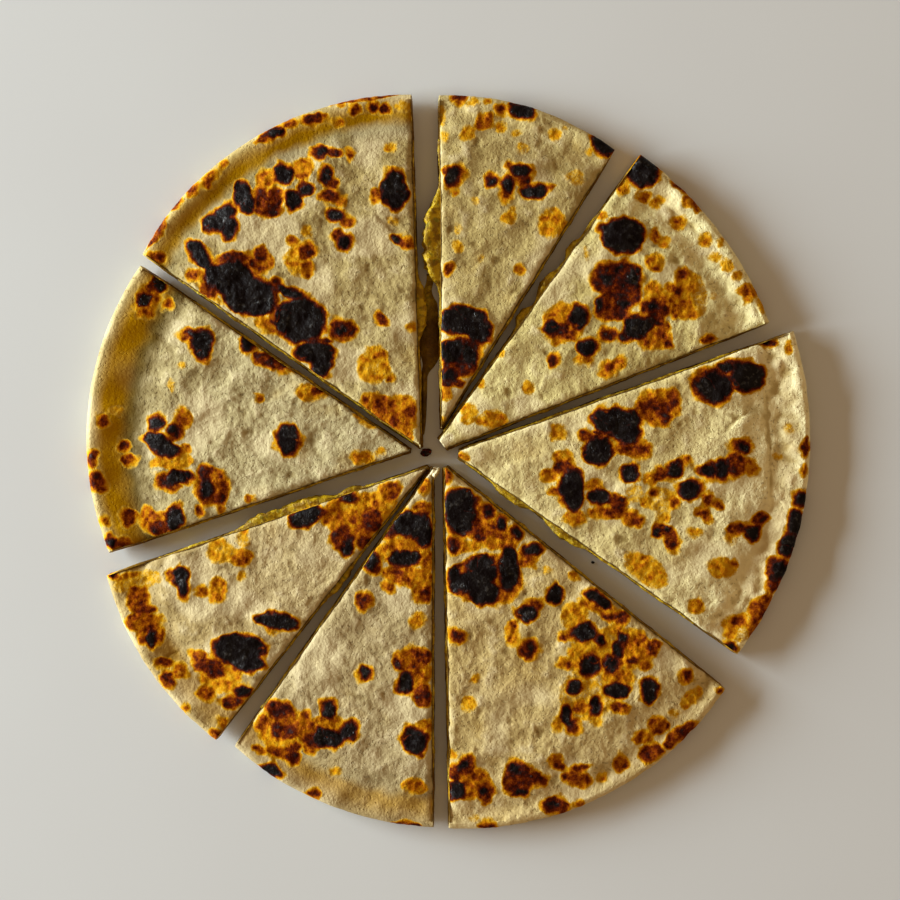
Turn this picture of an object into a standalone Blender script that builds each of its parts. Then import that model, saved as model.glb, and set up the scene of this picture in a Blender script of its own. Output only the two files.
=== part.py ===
"""Paneer kulcha: a round stuffed flatbread, cut into eight slices that lie a little apart.

Every slice is two solids: the dough, whose top and bottom layers meet in a raised rim, and the
paneer filling between them, which shows at the cuts and is squeezed out of them in places.
Some filling is smeared between two of the slices, and a burnt crumb lies at the middle.
Metres, +Z up. The origin is under the middle of the bread, on the surface it lies on.
"""
import math
from collections import namedtuple

import bmesh
import bpy
from mathutils import Vector

MM = 0.001

# Heights above the surface the bread lies on
PLATEAU = 8.4 * MM           # top of the stuffed middle, at the tips of the slices
DOME_FALL = 0.6 * MM         # how much lower the plateau is where it starts to slope down
GROOVE_HEIGHT = 5.0 * MM     # top surface in the groove between plateau and rim
LIP_RISE = 1.7 * MM          # a fully curled rim above the groove
NOSE_HEIGHT = 3.9 * MM       # outermost point of the rim
UNDERSIDE_LIFT = 1.3 * MM    # underside of the rim above the surface
LAYER = 2.0 * MM             # thickness of one dough layer over the filling
FIT = 0.3 * MM               # air left between filling and dough

# Radii as fractions of a slice's reach
LIP_CREST = 0.982
SOLE_EDGE = 0.90             # the flat sole ends here and the underside starts to lift
SLOPE = 0.13                 # the plateau slopes down over this, to the groove
STEP = 0.045                 # and steps down over this last part of it
STEP_SHARE = 0.28            # of the fall from plateau to groove
POCKET_BACK = 0.047          # the two dough layers are sealed from this far inside the groove
FILLING_BACK = 0.060         # the filling ends this far inside the groove
SHOULDER_BACK = 0.112        # the pocket starts to close this far inside the groove

NOMINAL_REACH = 117.0 * MM   # reach that the turned forms have before a slice stretches them
TURN_STEPS = 96
PLATEAU_RINGS = (0.0, 0.14, 0.28, 0.42, 0.56, 0.69)
SLOPE_RINGS = (SLOPE, 0.085, 0.055, STEP, 0.5 * STEP, 0.0)   # distances inside the groove
LIP_RINGS = (0.33, 0.67)     # shares of the way from the groove to the rim's crest
POCKET_RINGS = (0.0, 0.25, 0.5, 0.7)
NOSE_POINTS = 6

# Soft unevenness of the upper surface
SWELL = 0.32 * MM
SWELL_WAVE = 27.0 * MM
FIRM_BELOW = 2.5 * MM        # nothing under this height is uneven
LOOSE_ABOVE = 4.5 * MM       # everything over this height is

CUTTER_REACH = 1.4           # cutters run past the rim by this factor
CUTTER_HEIGHT = 60.0 * MM
SQUEEZE = 0.5 * MM           # how far the filling stands proud of the cuts
SQUEEZE_POINTS = 26          # points along one side of the filling
SHY_TIP = 9.0 * MM           # the filling stays back from the tip by this

# One row a slice, millimetres and degrees: where its two cuts would cross, the directions of the
# cuts anticlockwise from +X, its reach along the first cut, its middle and the second cut, how
# much of the tip is torn off, how strongly its rim curls up, and where the groove inside the rim
# lies, as a fraction of the reach.
Slice = namedtuple("Slice", "name apex start end reach blunt lip groove")
SLICES = (
    Slice("n", (-2.6, 10.2), 58.3, 90.3, (110.5, 112.3, 112.3), 0.8, 0.2, 0.93),
    Slice("ne", (-8.2, 1.1), 21.5, 54.5, (124.2, 124.6, 124.6), 8.0, 0.4, 0.925),
    Slice("e", (0.4, 3.0), -35.0, 19.4, (117.6, 120.0, 122.0), 3.3, 0.4, 0.915),
    Slice("se", (-1.8, -0.5), -89.0, -38.7, (122.3, 123.7, 120.9), 1.7, 0.25, 0.955),
    Slice("s", (-5.0, -1.1), 234.8, 269.9, (115.4, 119.0, 121.3), 0.9, 0.25, 0.925),
    Slice("sw", (-6.0, -1.1), 198.9, 232.0, (114.5, 116.4, 116.8), 1.0, 0.4, 0.9),
    Slice("w", (-11.8, 3.5), 145.8, 198.5, (110.4, 109.8, 107.2), 1.0, 0.9, 0.878),
    Slice("nw", (-8.8, 4.0), 91.8, 145.0, (118.9, 118.5, 114.2), 0.8, 0.6, 0.932),
)

# Filling pressed out of a cut: slice, cut (0 first, 1 second), distance from the apex, length
# along the cut and how far it comes out, millimetres.
Lump = namedtuple("Lump", "slice_name cut middle length out")
LUMPS = (
    Lump("n", 1, 63.5, 27.0, 5.2),
    Lump("nw", 0, 47.5, 17.0, 2.5),
    Lump("ne", 1, 58.0, 7.0, 1.7),
    Lump("ne", 1, 71.0, 10.0, 1.8),
    Lump("ne", 1, 86.0, 7.0, 1.5),
    Lump("e", 0, 48.0, 15.0, 1.8),
    Lump("e", 0, 25.0, 12.0, 1.5),
    Lump("sw", 0, 50.0, 31.0, 2.6),
    Lump("sw", 0, 28.0, 7.0, 1.3),
    Lump("sw", 1, 48.5, 11.0, 1.4),
    Lump("se", 1, 30.0, 12.0, 0.4),
)

# Filling smeared on the surface between slices nw and n
SMEAR_START, SMEAR_END = 9.0 * MM, 63.0 * MM
SMEAR_THICK = 1.1 * MM
SMEAR_SIDE = 0.4             # how thick it is next to the slices, as a share of its middle
SMEAR_CLEAR = 0.3 * MM       # it stays clear of the slices by this
SMEAR_WAVE = 7.0 * MM
SMEAR_ROWS = 24

# The burnt crumb
CRUMB_MIDDLE = (-7.7 * MM, 2.9 * MM)
CRUMB_SIZE = (3.4 * MM, 2.5 * MM, 1.7 * MM)
CRUMB_DIRECTION = 20.0

DOUGH_COLOUR = (0.62, 0.50, 0.29, 1.0)
FILLING_COLOUR = (0.50, 0.40, 0.09, 1.0)
BURNT_COLOUR = (0.06, 0.02, 0.015, 1.0)


def smooth(low, high, value):
    """0 below low, 1 above high, with a smooth ramp between."""
    ramp = min(max((value - low) / (high - low), 0.0), 1.0)
    return ramp * ramp * (3.0 - 2.0 * ramp)


def top_height(cut_slice, fraction):
    """Height of the upper surface at a fraction of the reach, without the rim's curl."""
    groove = cut_slice.groove
    plateau = PLATEAU - DOME_FALL * (fraction / (groove - SLOPE)) ** 2
    fall = ((1.0 - STEP_SHARE) * smooth(groove - SLOPE, groove, fraction)
            + STEP_SHARE * smooth(groove - STEP, groove, fraction))
    return plateau + (GROOVE_HEIGHT - plateau) * fall


def rim_height(cut_slice, fraction):
    """Height of the upper surface with the rim's curl."""
    curl = LIP_RISE * cut_slice.lip * smooth(cut_slice.groove, LIP_CREST, fraction)
    return top_height(cut_slice, fraction) + curl


def crust_outline(cut_slice):
    """Outline of half the bread, from the middle of its top round the rim to its underside."""
    groove = cut_slice.groove
    rings = list(PLATEAU_RINGS)
    rings += [groove - back for back in SLOPE_RINGS]
    rings += [groove + share * (LIP_CREST - groove) for share in LIP_RINGS]
    points = [(f, rim_height(cut_slice, f)) for f in rings]
    crest = rim_height(cut_slice, LIP_CREST)
    for step in range(NOSE_POINTS + 1):
        turn = math.pi * (0.5 - step / NOSE_POINTS)
        half = (crest - NOSE_HEIGHT) if turn > 0 else (NOSE_HEIGHT - UNDERSIDE_LIFT)
        points.append((LIP_CREST + (1.0 - LIP_CREST) * math.cos(turn),
                       NOSE_HEIGHT + half * math.sin(turn)))
    points += [(SOLE_EDGE, 0.0), (0.5, 0.0), (0.0, 0.0)]
    return points


def pocket_outline(cut_slice, back, inset):
    """Outline of half the room between the layers, or of the filling, inset on both sides."""
    rings = list(POCKET_RINGS) + [cut_slice.groove - SHOULDER_BACK]
    upper = [(f, top_height(cut_slice, f) - LAYER - inset) for f in rings]
    lower = [(f, LAYER + inset) for f in reversed(rings)]
    closing_height = (upper[-1][1] + lower[0][1]) / 2.0
    return upper + [(cut_slice.groove - back, closing_height)] + lower


def turned_mesh(name, outline):
    """Turns an outline of (fraction of the reach, height) points about the Z axis."""
    mesh = bpy.data.meshes.new(name)
    points = [(f * NOMINAL_REACH, 0.0, height) for f, height in outline]
    edges = [(i, i + 1) for i in range(len(points) - 1)]
    mesh.from_pydata(points, edges, [])
    guide = bpy.data.objects.new(name, mesh)
    bpy.context.scene.collection.objects.link(guide)
    screw = guide.modifiers.new("turn", "SCREW")
    screw.axis = "Z"
    screw.angle = 2.0 * math.pi
    screw.steps = screw.render_steps = TURN_STEPS
    screw.use_merge_vertices = True
    screw.merge_threshold = 0.00001
    graph = bpy.context.evaluated_depsgraph_get()
    result = bpy.data.meshes.new_from_object(guide.evaluated_get(graph))
    bpy.data.objects.remove(guide)
    return result


def reach_at(cut_slice, degrees):
    """A slice's reach in a direction, on a curve through its three measured reaches."""
    share = (degrees - cut_slice.start) / (cut_slice.end - cut_slice.start)
    share = min(max(share, 0.0), 1.0)
    first, middle, last = cut_slice.reach
    return MM * (first * (1.0 - share) * (1.0 - 2.0 * share)
                 + middle * 4.0 * share * (1.0 - share)
                 + last * share * (2.0 * share - 1.0))


def swell_at(x, y):
    """Soft hills and hollows of the upper surface."""
    turn = 2.0 * math.pi / SWELL_WAVE
    hills = math.sin(turn * (x + 0.4 * y)) * math.cos(turn * (0.9 * y - 0.3 * x))
    return SWELL * (hills + 0.5 * math.sin(turn * 1.9 * (0.6 * x - y)) - 0.5)


def slice_form(name, outline, cut_slice):
    """A turned outline, stretched to one slice's reach and given its unevenness."""
    mesh = turned_mesh(name, outline)
    for vertex in mesh.vertices:
        x, y, z = vertex.co
        degrees = math.degrees(math.atan2(y, x))
        middle = (cut_slice.start + cut_slice.end) / 2.0
        degrees = middle + (degrees - middle + 180.0) % 360.0 - 180.0
        stretch = reach_at(cut_slice, degrees) / NOMINAL_REACH
        looseness = smooth(FIRM_BELOW, LOOSE_ABOVE, z)
        z += looseness * swell_at(x + cut_slice.apex[0] * MM, y + cut_slice.apex[1] * MM)
        vertex.co = (x * stretch, y * stretch, z)
    return mesh


def along(degrees, distance, sideways=0.0):
    """A point at a distance along a direction, and sideways to its left."""
    turn = math.radians(degrees)
    return (distance * math.cos(turn) - sideways * math.sin(turn),
            distance * math.sin(turn) + sideways * math.cos(turn), 0.0)


def wedge_outline(cut_slice):
    """The slice seen from above, with its blunt tip, run past the rim."""
    far = CUTTER_REACH * NOMINAL_REACH
    tip = cut_slice.blunt * MM
    middle = (cut_slice.start + cut_slice.end) / 2.0
    return [along(cut_slice.start, tip), along(cut_slice.start, far), along(middle, far),
            along(cut_slice.end, far), along(cut_slice.end, tip)]


def squeezed_out(cut_slice, cut, distance):
    """How far the filling stands out of a cut at a distance from the apex."""
    out = SQUEEZE * (0.55 + 0.45 * math.sin(distance / (3.1 * MM) + 2.0 * cut))
    for lump in LUMPS:
        if (lump.slice_name, lump.cut) == (cut_slice.name, cut):
            offset = (distance - lump.middle * MM) / (0.5 * lump.length * MM)
            out += lump.out * MM * math.exp(-offset ** 4)
    return out * smooth(SHY_TIP, 2.2 * SHY_TIP, distance)


def filling_outline(cut_slice):
    """The filling of a slice seen from above: its cuts bulge outwards where it is pressed out."""
    far = CUTTER_REACH * NOMINAL_REACH
    near = (cut_slice.blunt * MM) + SHY_TIP * 0.35
    distances = [near + (far - near) * i / (SQUEEZE_POINTS - 1) for i in range(SQUEEZE_POINTS)]
    first = [along(cut_slice.start, d, -squeezed_out(cut_slice, 0, d)) for d in distances]
    second = [along(cut_slice.end, d, squeezed_out(cut_slice, 1, d)) for d in distances]
    return first + second[::-1]


def prism(name, outline, collection, parent, place):
    """A hidden upright prism over an outline, to cut with."""
    mesh = bpy.data.meshes.new(name)
    mesh.from_pydata(outline, [], [range(len(outline))])
    cutter = bpy.data.objects.new(name, mesh)
    wall = cutter.modifiers.new("height", "SOLIDIFY")
    wall.thickness = CUTTER_HEIGHT
    wall.offset = 0.0
    settle(cutter, collection, parent, place)
    hide_cutter(cutter)
    return cutter


def settle(piece, collection, parent, place):
    """Links a piece to its collection and puts it at its slice's apex."""
    collection.objects.link(piece)
    piece.parent = parent
    piece.location = place


def hide_cutter(cutter):
    cutter.hide_render = True
    cutter.display_type = "WIRE"


def boolean(piece, operation, cutter):
    modifier = piece.modifiers.new(cutter.name, "BOOLEAN")
    modifier.operation = operation
    modifier.object = cutter


def plain_material(name, colour, roughness):
    material = bpy.data.materials.new(name)
    material.use_nodes = True
    shader = material.node_tree.nodes["Principled BSDF"]
    shader.inputs["Base Color"].default_value = colour
    shader.inputs["Roughness"].default_value = roughness
    shader.inputs["Metallic"].default_value = 0.0
    return material


def apex_of(cut_slice):
    return Vector((cut_slice.apex[0] * MM, cut_slice.apex[1] * MM, 0.0))


def slice_piece(name, outline, cut_slice, collection, parent):
    """An object of a turned outline, at its slice's apex."""
    piece = bpy.data.objects.new(name, slice_form(name, outline, cut_slice))
    settle(piece, collection, parent, apex_of(cut_slice))
    return piece


def make_slice(cut_slice, parts, cutters, parent):
    """The dough and the filling of one slice."""
    place = apex_of(cut_slice)
    wedge = prism("wedge_" + cut_slice.name, wedge_outline(cut_slice), cutters, parent, place)
    squeeze = prism("squeeze_" + cut_slice.name, filling_outline(cut_slice), cutters, parent,
                    place)
    pocket = slice_piece("pocket_" + cut_slice.name, pocket_outline(cut_slice, POCKET_BACK, 0.0),
                         cut_slice, cutters, parent)
    hide_cutter(pocket)

    dough = slice_piece("dough_" + cut_slice.name, crust_outline(cut_slice), cut_slice, parts,
                        parent)
    dough.data.materials.append(plain_material(dough.name, DOUGH_COLOUR, 0.75))
    boolean(dough, "INTERSECT", wedge)
    boolean(dough, "DIFFERENCE", pocket)

    filling = slice_piece("filling_" + cut_slice.name,
                          pocket_outline(cut_slice, FILLING_BACK, FIT), cut_slice, parts, parent)
    filling.data.materials.append(plain_material(filling.name, FILLING_COLOUR, 0.6))
    boolean(filling, "INTERSECT", squeeze)


def cut_at(cut_slice, degrees, y):
    """Where the line of a cut crosses a height y of the bread seen from above."""
    down = y - cut_slice.apex[1] * MM
    return cut_slice.apex[0] * MM + down / math.tan(math.radians(degrees))


def smear_mesh():
    """A thin strip that follows the gap between slices nw and n and narrows at its ends."""
    left = next(cut_slice for cut_slice in SLICES if cut_slice.name == "nw")
    right = next(cut_slice for cut_slice in SLICES if cut_slice.name == "n")
    points = []
    for row in range(SMEAR_ROWS + 1):
        share = row / SMEAR_ROWS
        y = SMEAR_START + (SMEAR_END - SMEAR_START) * share
        taper = math.sin(math.pi * (0.03 + 0.94 * share)) ** 0.4
        low = cut_at(left, left.start, y) + SMEAR_CLEAR
        high = cut_at(right, right.end, y) - SMEAR_CLEAR
        middle, half = (low + high) / 2.0, (high - low) / 2.0 * taper
        thick = SMEAR_THICK * taper * (1.0 + 0.25 * math.sin(2.0 * math.pi * y / SMEAR_WAVE))
        points += [(middle - half, y, 0.0), (middle - half, y, SMEAR_SIDE * thick),
                   (middle, y, thick), (middle + half, y, SMEAR_SIDE * thick),
                   (middle + half, y, 0.0)]
    around = 5
    faces = []
    for row in range(SMEAR_ROWS):
        for k in range(around):
            one, two = row * around + k, row * around + (k + 1) % around
            faces.append((one, two, two + around, one + around))
    last = SMEAR_ROWS * around
    faces.append(tuple(range(around))[::-1])
    faces.append(tuple(range(last, last + around)))
    mesh = bpy.data.meshes.new("smear")
    mesh.from_pydata(points, [], faces)
    return mesh


def crumb_mesh():
    """A flat-bottomed burnt crumb."""
    mesh = bpy.data.meshes.new("crumb")
    form = bmesh.new()
    bmesh.ops.create_icosphere(form, subdivisions=2, radius=0.5)
    turn = math.radians(CRUMB_DIRECTION)
    for vertex in form.verts:
        x, y, z = (vertex.co[axis] * CRUMB_SIZE[axis] for axis in range(3))
        lumpy = 1.0 + 0.12 * math.sin(9.0 * vertex.co.x + 5.0 * vertex.co.y)
        vertex.co = (CRUMB_MIDDLE[0] + lumpy * (x * math.cos(turn) - y * math.sin(turn)),
                     CRUMB_MIDDLE[1] + lumpy * (x * math.sin(turn) + y * math.cos(turn)),
                     max(z + 0.42 * CRUMB_SIZE[2], 0.0))
    form.to_mesh(mesh)
    form.free()
    return mesh


def make_loose(name, mesh, colour, roughness, parts, parent):
    """A loose bit between the slices."""
    piece = bpy.data.objects.new(name, mesh)
    piece.data.materials.append(plain_material(name, colour, roughness))
    settle(piece, parts, parent, Vector((0.0, 0.0, 0.0)))


def centre_over_origin(parts, parent):
    """Moves the whole bread so that the middle of its box stands over the origin."""
    graph = bpy.context.evaluated_depsgraph_get()
    corners = []
    for piece in parts.objects:
        made = piece.evaluated_get(graph)
        corners += [made.matrix_world @ vertex.co for vertex in made.to_mesh().vertices]
        made.to_mesh_clear()
    for axis in (0, 1):
        values = [corner[axis] for corner in corners]
        parent.location[axis] -= (min(values) + max(values)) / 2.0
    parent.location[2] -= min(corner[2] for corner in corners)


def main():
    for thing in list(bpy.data.objects):
        bpy.data.objects.remove(thing)
    scene = bpy.context.scene
    parts = bpy.data.collections.new("paneer_kulcha")
    cutters = bpy.data.collections.new("cutters")
    scene.collection.children.link(parts)
    scene.collection.children.link(cutters)
    bread = bpy.data.objects.new("bread", None)
    scene.collection.objects.link(bread)

    for cut_slice in SLICES:
        make_slice(cut_slice, parts, cutters, bread)
    make_loose("filling_smear", smear_mesh(), FILLING_COLOUR, 0.6, parts, bread)
    make_loose("burnt_crumb", crumb_mesh(), BURNT_COLOUR, 0.7, parts, bread)
    centre_over_origin(parts, bread)


main()
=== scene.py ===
"""Looks of the paneer kulcha: eight slices of a browned, stuffed flatbread on a pale floor.

Each slice is two pieces, which stand for its two solids: the dough, a closed skin whose two layers
meet in a raised rim, and the paneer filling between the layers. Tables are in millimetres and
degrees, in the bread's own frame, whose middle is where the cuts nearly meet.
"""
import math
from collections import namedtuple

import bpy
import numpy as np
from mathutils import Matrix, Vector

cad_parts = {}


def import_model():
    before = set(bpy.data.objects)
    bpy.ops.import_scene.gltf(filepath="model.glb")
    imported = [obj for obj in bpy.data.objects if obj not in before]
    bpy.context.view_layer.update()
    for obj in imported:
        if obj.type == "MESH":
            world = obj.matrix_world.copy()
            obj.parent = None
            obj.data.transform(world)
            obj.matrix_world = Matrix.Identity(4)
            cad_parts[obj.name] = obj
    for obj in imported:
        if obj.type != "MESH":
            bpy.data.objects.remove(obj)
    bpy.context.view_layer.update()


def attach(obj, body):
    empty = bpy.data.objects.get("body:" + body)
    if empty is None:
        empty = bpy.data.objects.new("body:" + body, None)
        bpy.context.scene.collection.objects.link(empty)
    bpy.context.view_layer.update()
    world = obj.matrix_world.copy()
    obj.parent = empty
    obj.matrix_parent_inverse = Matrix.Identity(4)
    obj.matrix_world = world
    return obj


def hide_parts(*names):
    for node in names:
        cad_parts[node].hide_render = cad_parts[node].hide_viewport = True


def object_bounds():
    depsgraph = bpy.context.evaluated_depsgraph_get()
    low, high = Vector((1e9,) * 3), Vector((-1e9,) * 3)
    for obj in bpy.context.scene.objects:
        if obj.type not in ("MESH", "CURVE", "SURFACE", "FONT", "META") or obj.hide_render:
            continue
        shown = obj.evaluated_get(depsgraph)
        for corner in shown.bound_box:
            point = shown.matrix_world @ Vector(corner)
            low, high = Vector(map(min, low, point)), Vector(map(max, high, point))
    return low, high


MM = 0.001

# ---------------------------------------------------------------- the bread's form, as in its CAD
PLATEAU = 8.4                # top of the stuffed middle, at the tips of the slices
DOME_FALL = 0.6              # how much lower the plateau is where it starts to slope down
GROOVE_HEIGHT = 5.0          # top surface in the groove between plateau and rim
LIP_RISE = 1.7               # rim above the groove
NOSE_HEIGHT = 3.9            # outermost point of the rim
UNDERSIDE_LIFT = 1.3         # underside of the rim above the floor
LAYER = 2.0                  # thickness of one dough layer over the filling
FIT = 0.3                    # air between filling and dough

LIP_CREST = 0.982            # these are fractions of a slice's reach
SOLE_EDGE = 0.90
SLOPE = 0.13                 # the plateau slopes down over this, to the groove
STEP = 0.045                 # and steps down over this last part of it
STEP_SHARE = 0.28            # of the fall from plateau to groove
POCKET_BACK = 0.047          # the pocket ends this far inside the groove
FILLING_BACK = 0.060
SHOULDER_BACK = 0.112        # the pocket starts to close here

SWELL = 0.32                 # soft hills of the upper surface
SWELL_WAVE = 27.0
FIRM_BELOW = 2.5             # the hills fade in between these heights
LOOSE_ABOVE = 4.5

SQUEEZE = 0.5                # how far the filling stands proud of the cuts
SHY_TIP = 9.0                # the filling stays back from the tip by this

# Slices: where the two cuts would meet, their directions, the reach from there at the first cut,
# in the middle and at the second, how much of the tip is torn off, the lip's share of its full
# rise and where the groove is, in parts of the reach.
Slice = namedtuple("Slice", "name apex start end reach blunt lip groove")
SLICES = (
    Slice("n", (-2.6, 10.2), 58.3, 90.3, (110.5, 112.3, 112.3), 0.8, 0.2, 0.93),
    Slice("ne", (-8.2, 1.1), 21.5, 54.5, (124.2, 124.6, 124.6), 8.0, 0.4, 0.925),
    Slice("e", (0.4, 3.0), -35.0, 19.4, (117.6, 120.0, 122.0), 3.3, 0.4, 0.915),
    Slice("se", (-1.8, -0.5), -89.0, -38.7, (122.3, 123.7, 120.9), 1.7, 0.25, 0.955),
    Slice("s", (-5.0, -1.1), 234.8, 269.9, (115.4, 119.0, 121.3), 0.9, 0.25, 0.925),
    Slice("sw", (-6.0, -1.1), 198.9, 232.0, (114.5, 116.4, 116.8), 1.0, 0.4, 0.9),
    Slice("w", (-11.8, 3.5), 145.8, 198.5, (110.4, 109.8, 107.2), 1.0, 0.9, 0.878),
    Slice("nw", (-8.8, 4.0), 91.8, 145.0, (118.9, 118.5, 114.2), 0.8, 0.6, 0.932),
)

# Filling pressed out of a cut: slice, cut (0 first, 1 second), distance from the apex, length
# along the cut and how far it comes out.
Lump = namedtuple("Lump", "slice_name cut middle length out")
LUMPS = (
    Lump("n", 1, 63.5, 27.0, 5.2),
    Lump("nw", 0, 47.5, 17.0, 2.5),
    Lump("ne", 1, 58.0, 7.0, 1.7),
    Lump("ne", 1, 71.0, 10.0, 1.8),
    Lump("ne", 1, 86.0, 7.0, 1.5),
    Lump("e", 0, 48.0, 15.0, 1.8),
    Lump("e", 0, 25.0, 12.0, 1.5),
    Lump("sw", 0, 50.0, 31.0, 2.6),
    Lump("sw", 0, 28.0, 7.0, 1.3),
    Lump("sw", 1, 48.5, 11.0, 1.4),
    Lump("se", 1, 30.0, 12.0, 0.4),
)

# Filling smeared on the floor between slices nw and n
SMEAR_START, SMEAR_END = 9.0, 63.0
SMEAR_SPREADS = (28.0, 37.0) # below this it keeps to slice nw's side, above it fills the gap
SMEAR_STRIP = 0.36           # its share of the gap below
# Painted shade on the smear, where the gap between slices is deep
SMEAR_PAINTED_SHADE = (58.0, 46.0) # it darkens from the first of these to the second
SMEAR_THICK = 1.1
SMEAR_CLEAR = 0.3            # it stays clear of the slices by this
SMEAR_BLUNT = 0.45           # power of a sine, so less is blunter
SMEAR_ROWS, SMEAR_ACROSS, SMEAR_BELOW = 110, 22, 6

# Lumpy bits: middle, length, width, height, the length's direction, how deeply it is burnt, how
# pale it is and the seed of its lumps
Bit = namedtuple("Bit", "middle length width height direction burn pale seed")
CRUMB = Bit((-7.7, 2.9, 0.75), 3.6, 2.7, 1.8, 20.0, 0.85, 0.0, 38)
SPECK = Bit((48.5, -34.0, 0.3), 1.1, 0.9, 0.7, 0.0, 1.3, 0.0, 38)
TORN_TIP = Bit((-4.8, -3.9, 4.4), 4.8, 3.1, 7.8, 55.0, 0.0, 1.0, 37)
BIT_RINGS, BIT_AROUND = 44, 56

# Where on a slice a point is
TOP, NOSE, SOLE, POCKET, TIP, CUT = range(6)

# ---------------------------------------------------------------- fineness of the meshes
CELL = 0.45                  # spacing of the upper surface's points
SOLE_CELL = 1.0              # and of the underside's
POCKET_CELL = 1.0            # and of the pocket's and the filling's
NOSE_ROWS = 24
CUT_LINES = 5                # strips across a dough layer where it is cut
FILLING_LINES = 10           # strips across the filling where it is cut
FILLING_CELL = 0.8           # spacing along them
EDGE_STEPS = (0.0, 0.1, 0.25, 0.45, 0.75, 1.15)   # finer points next to a cut
POCKET_STEPS = (0.0, 0.45, 0.9, 1.5, 2.4, 4.0)
POCKET_COARSE = 3.0
OUTLINE_STEPS = 65           # points on a rim and a tip when the bread's box is measured

# ---------------------------------------------------------------- relief
EDGE_DROP = 1.0              # the upper surface rounds down at a cut by this
EDGE_WIDTH = 2.8             # over this distance
HALO = 1.2                   # how far browning fades out round a mark
BLISTER_WIDTH = 3.2          # how far the skin is puffed up round one
WRINKLE = 0.15               # how deep the fine wrinkles are
PIT_DEPTH = 0.30
FLAKE_HEIGHT = 0.16          # of charred skin
PUFF_SHARE = 0.05            # a mark puffs up by this share of its smaller side
PUFF_MOST = 0.36             # but by no more than this
CUT_WAVE = 0.22              # how far the cut faces wave in and out
EASED_ABOVE = 8.4            # relief is held back above this height
EASED_BY = 0.35              # and goes no further than this beyond it
LEAN = 0.45                  # the cut face leans out towards the floor by this, both ways
LEAN_FROM = 4.2              # from this height
CUT_ROUGH = 0.9              # how far behind a cut its roughness reaches
NOSE_HALF = 2.6              # half the height over which relief turns round the rim
BULGE_MIDDLE = 4.0           # the filling bulges most at this height
BULGE_HALF = 2.9             # and not at all this far above and below it
PRESSED_ABOVE = 0.8          # filling that comes out further than this also rises
TIP_DISTANCE = 0.35          # the filling starts at this share of SHY_TIP

# Recipes of noise: how strong, how far apart its hills are and a seed
RAGGED = ((0.8, 5.2, 0.0), (0.5, 2.4, 0.5), (0.2, 1.2, 0.7))          # outlines of marks
MOTTLE = ((0.22, 2.6, 22), (0.15, 1.3, 23))                           # depth of browning
BUMPS = ((0.16, 8.5, 10), (0.26, 4.6, 11))                            # of all skin
GRAIN = ((0.58, 2.6, 9), (0.40, 1.2, 6))                              # its fine wrinkles
PUCKERS = ((0.26, 2.4, 43), (0.13, 1.3, 44))                          # of golden skin
CRIMPS = ((0.45, 4.6, 31), (0.25, 2.6, 32))                           # of the rim
CUT_CRUMB = ((0.16, 1.6, 14), (0.10, 0.8, 15))                        # of cut faces
MASH_LUMPS = ((0.45, 3.4, 20), (0.34, 1.5, 21), (0.16, 0.8, 28))      # the filling
SMEAR_LUMPS = ((0.5, 5.0, 34), (0.3, 1.6, 35))
BIT_LUMPS = ((0.28, 1.1, 0), (0.12, 0.5, 1))                          # on a ball of radius 1
SEED_STEP = 17.3             # how far apart seeds lie in the noise
NOISE_GAIN = 1.7             # brings it to about -1 to 1

# ---------------------------------------------------------------- browning
# How deeply a mark is browned, from a tint to char
TINT, GOLD, TOAST, BROWN, RED, CHAR = 0.30, 0.42, 0.54, 0.64, 0.78, 1.30
EDGE_SHARE = 0.84            # of a mark's depth is reached at its outline
CHAR_EDGE = 0.84             # but no more than this depth
BURN_SLOPE = 0.30            # how fast it deepens further in
SQUARISH = 2.2               # power of a mark's outline, where 2 is an ellipse
BLEND = 8                    # power by which marks that overlap are added up
FADING = 1.4                 # power by which browning fades out round a mark
CRACKED = 0.45               # a crack in char is this much less burnt
SOLE_BROWNED = 0.55          # the darkest patches of the underside
HIDDEN_SHARE = 0.35          # of the browning reaches the cut faces
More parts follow.
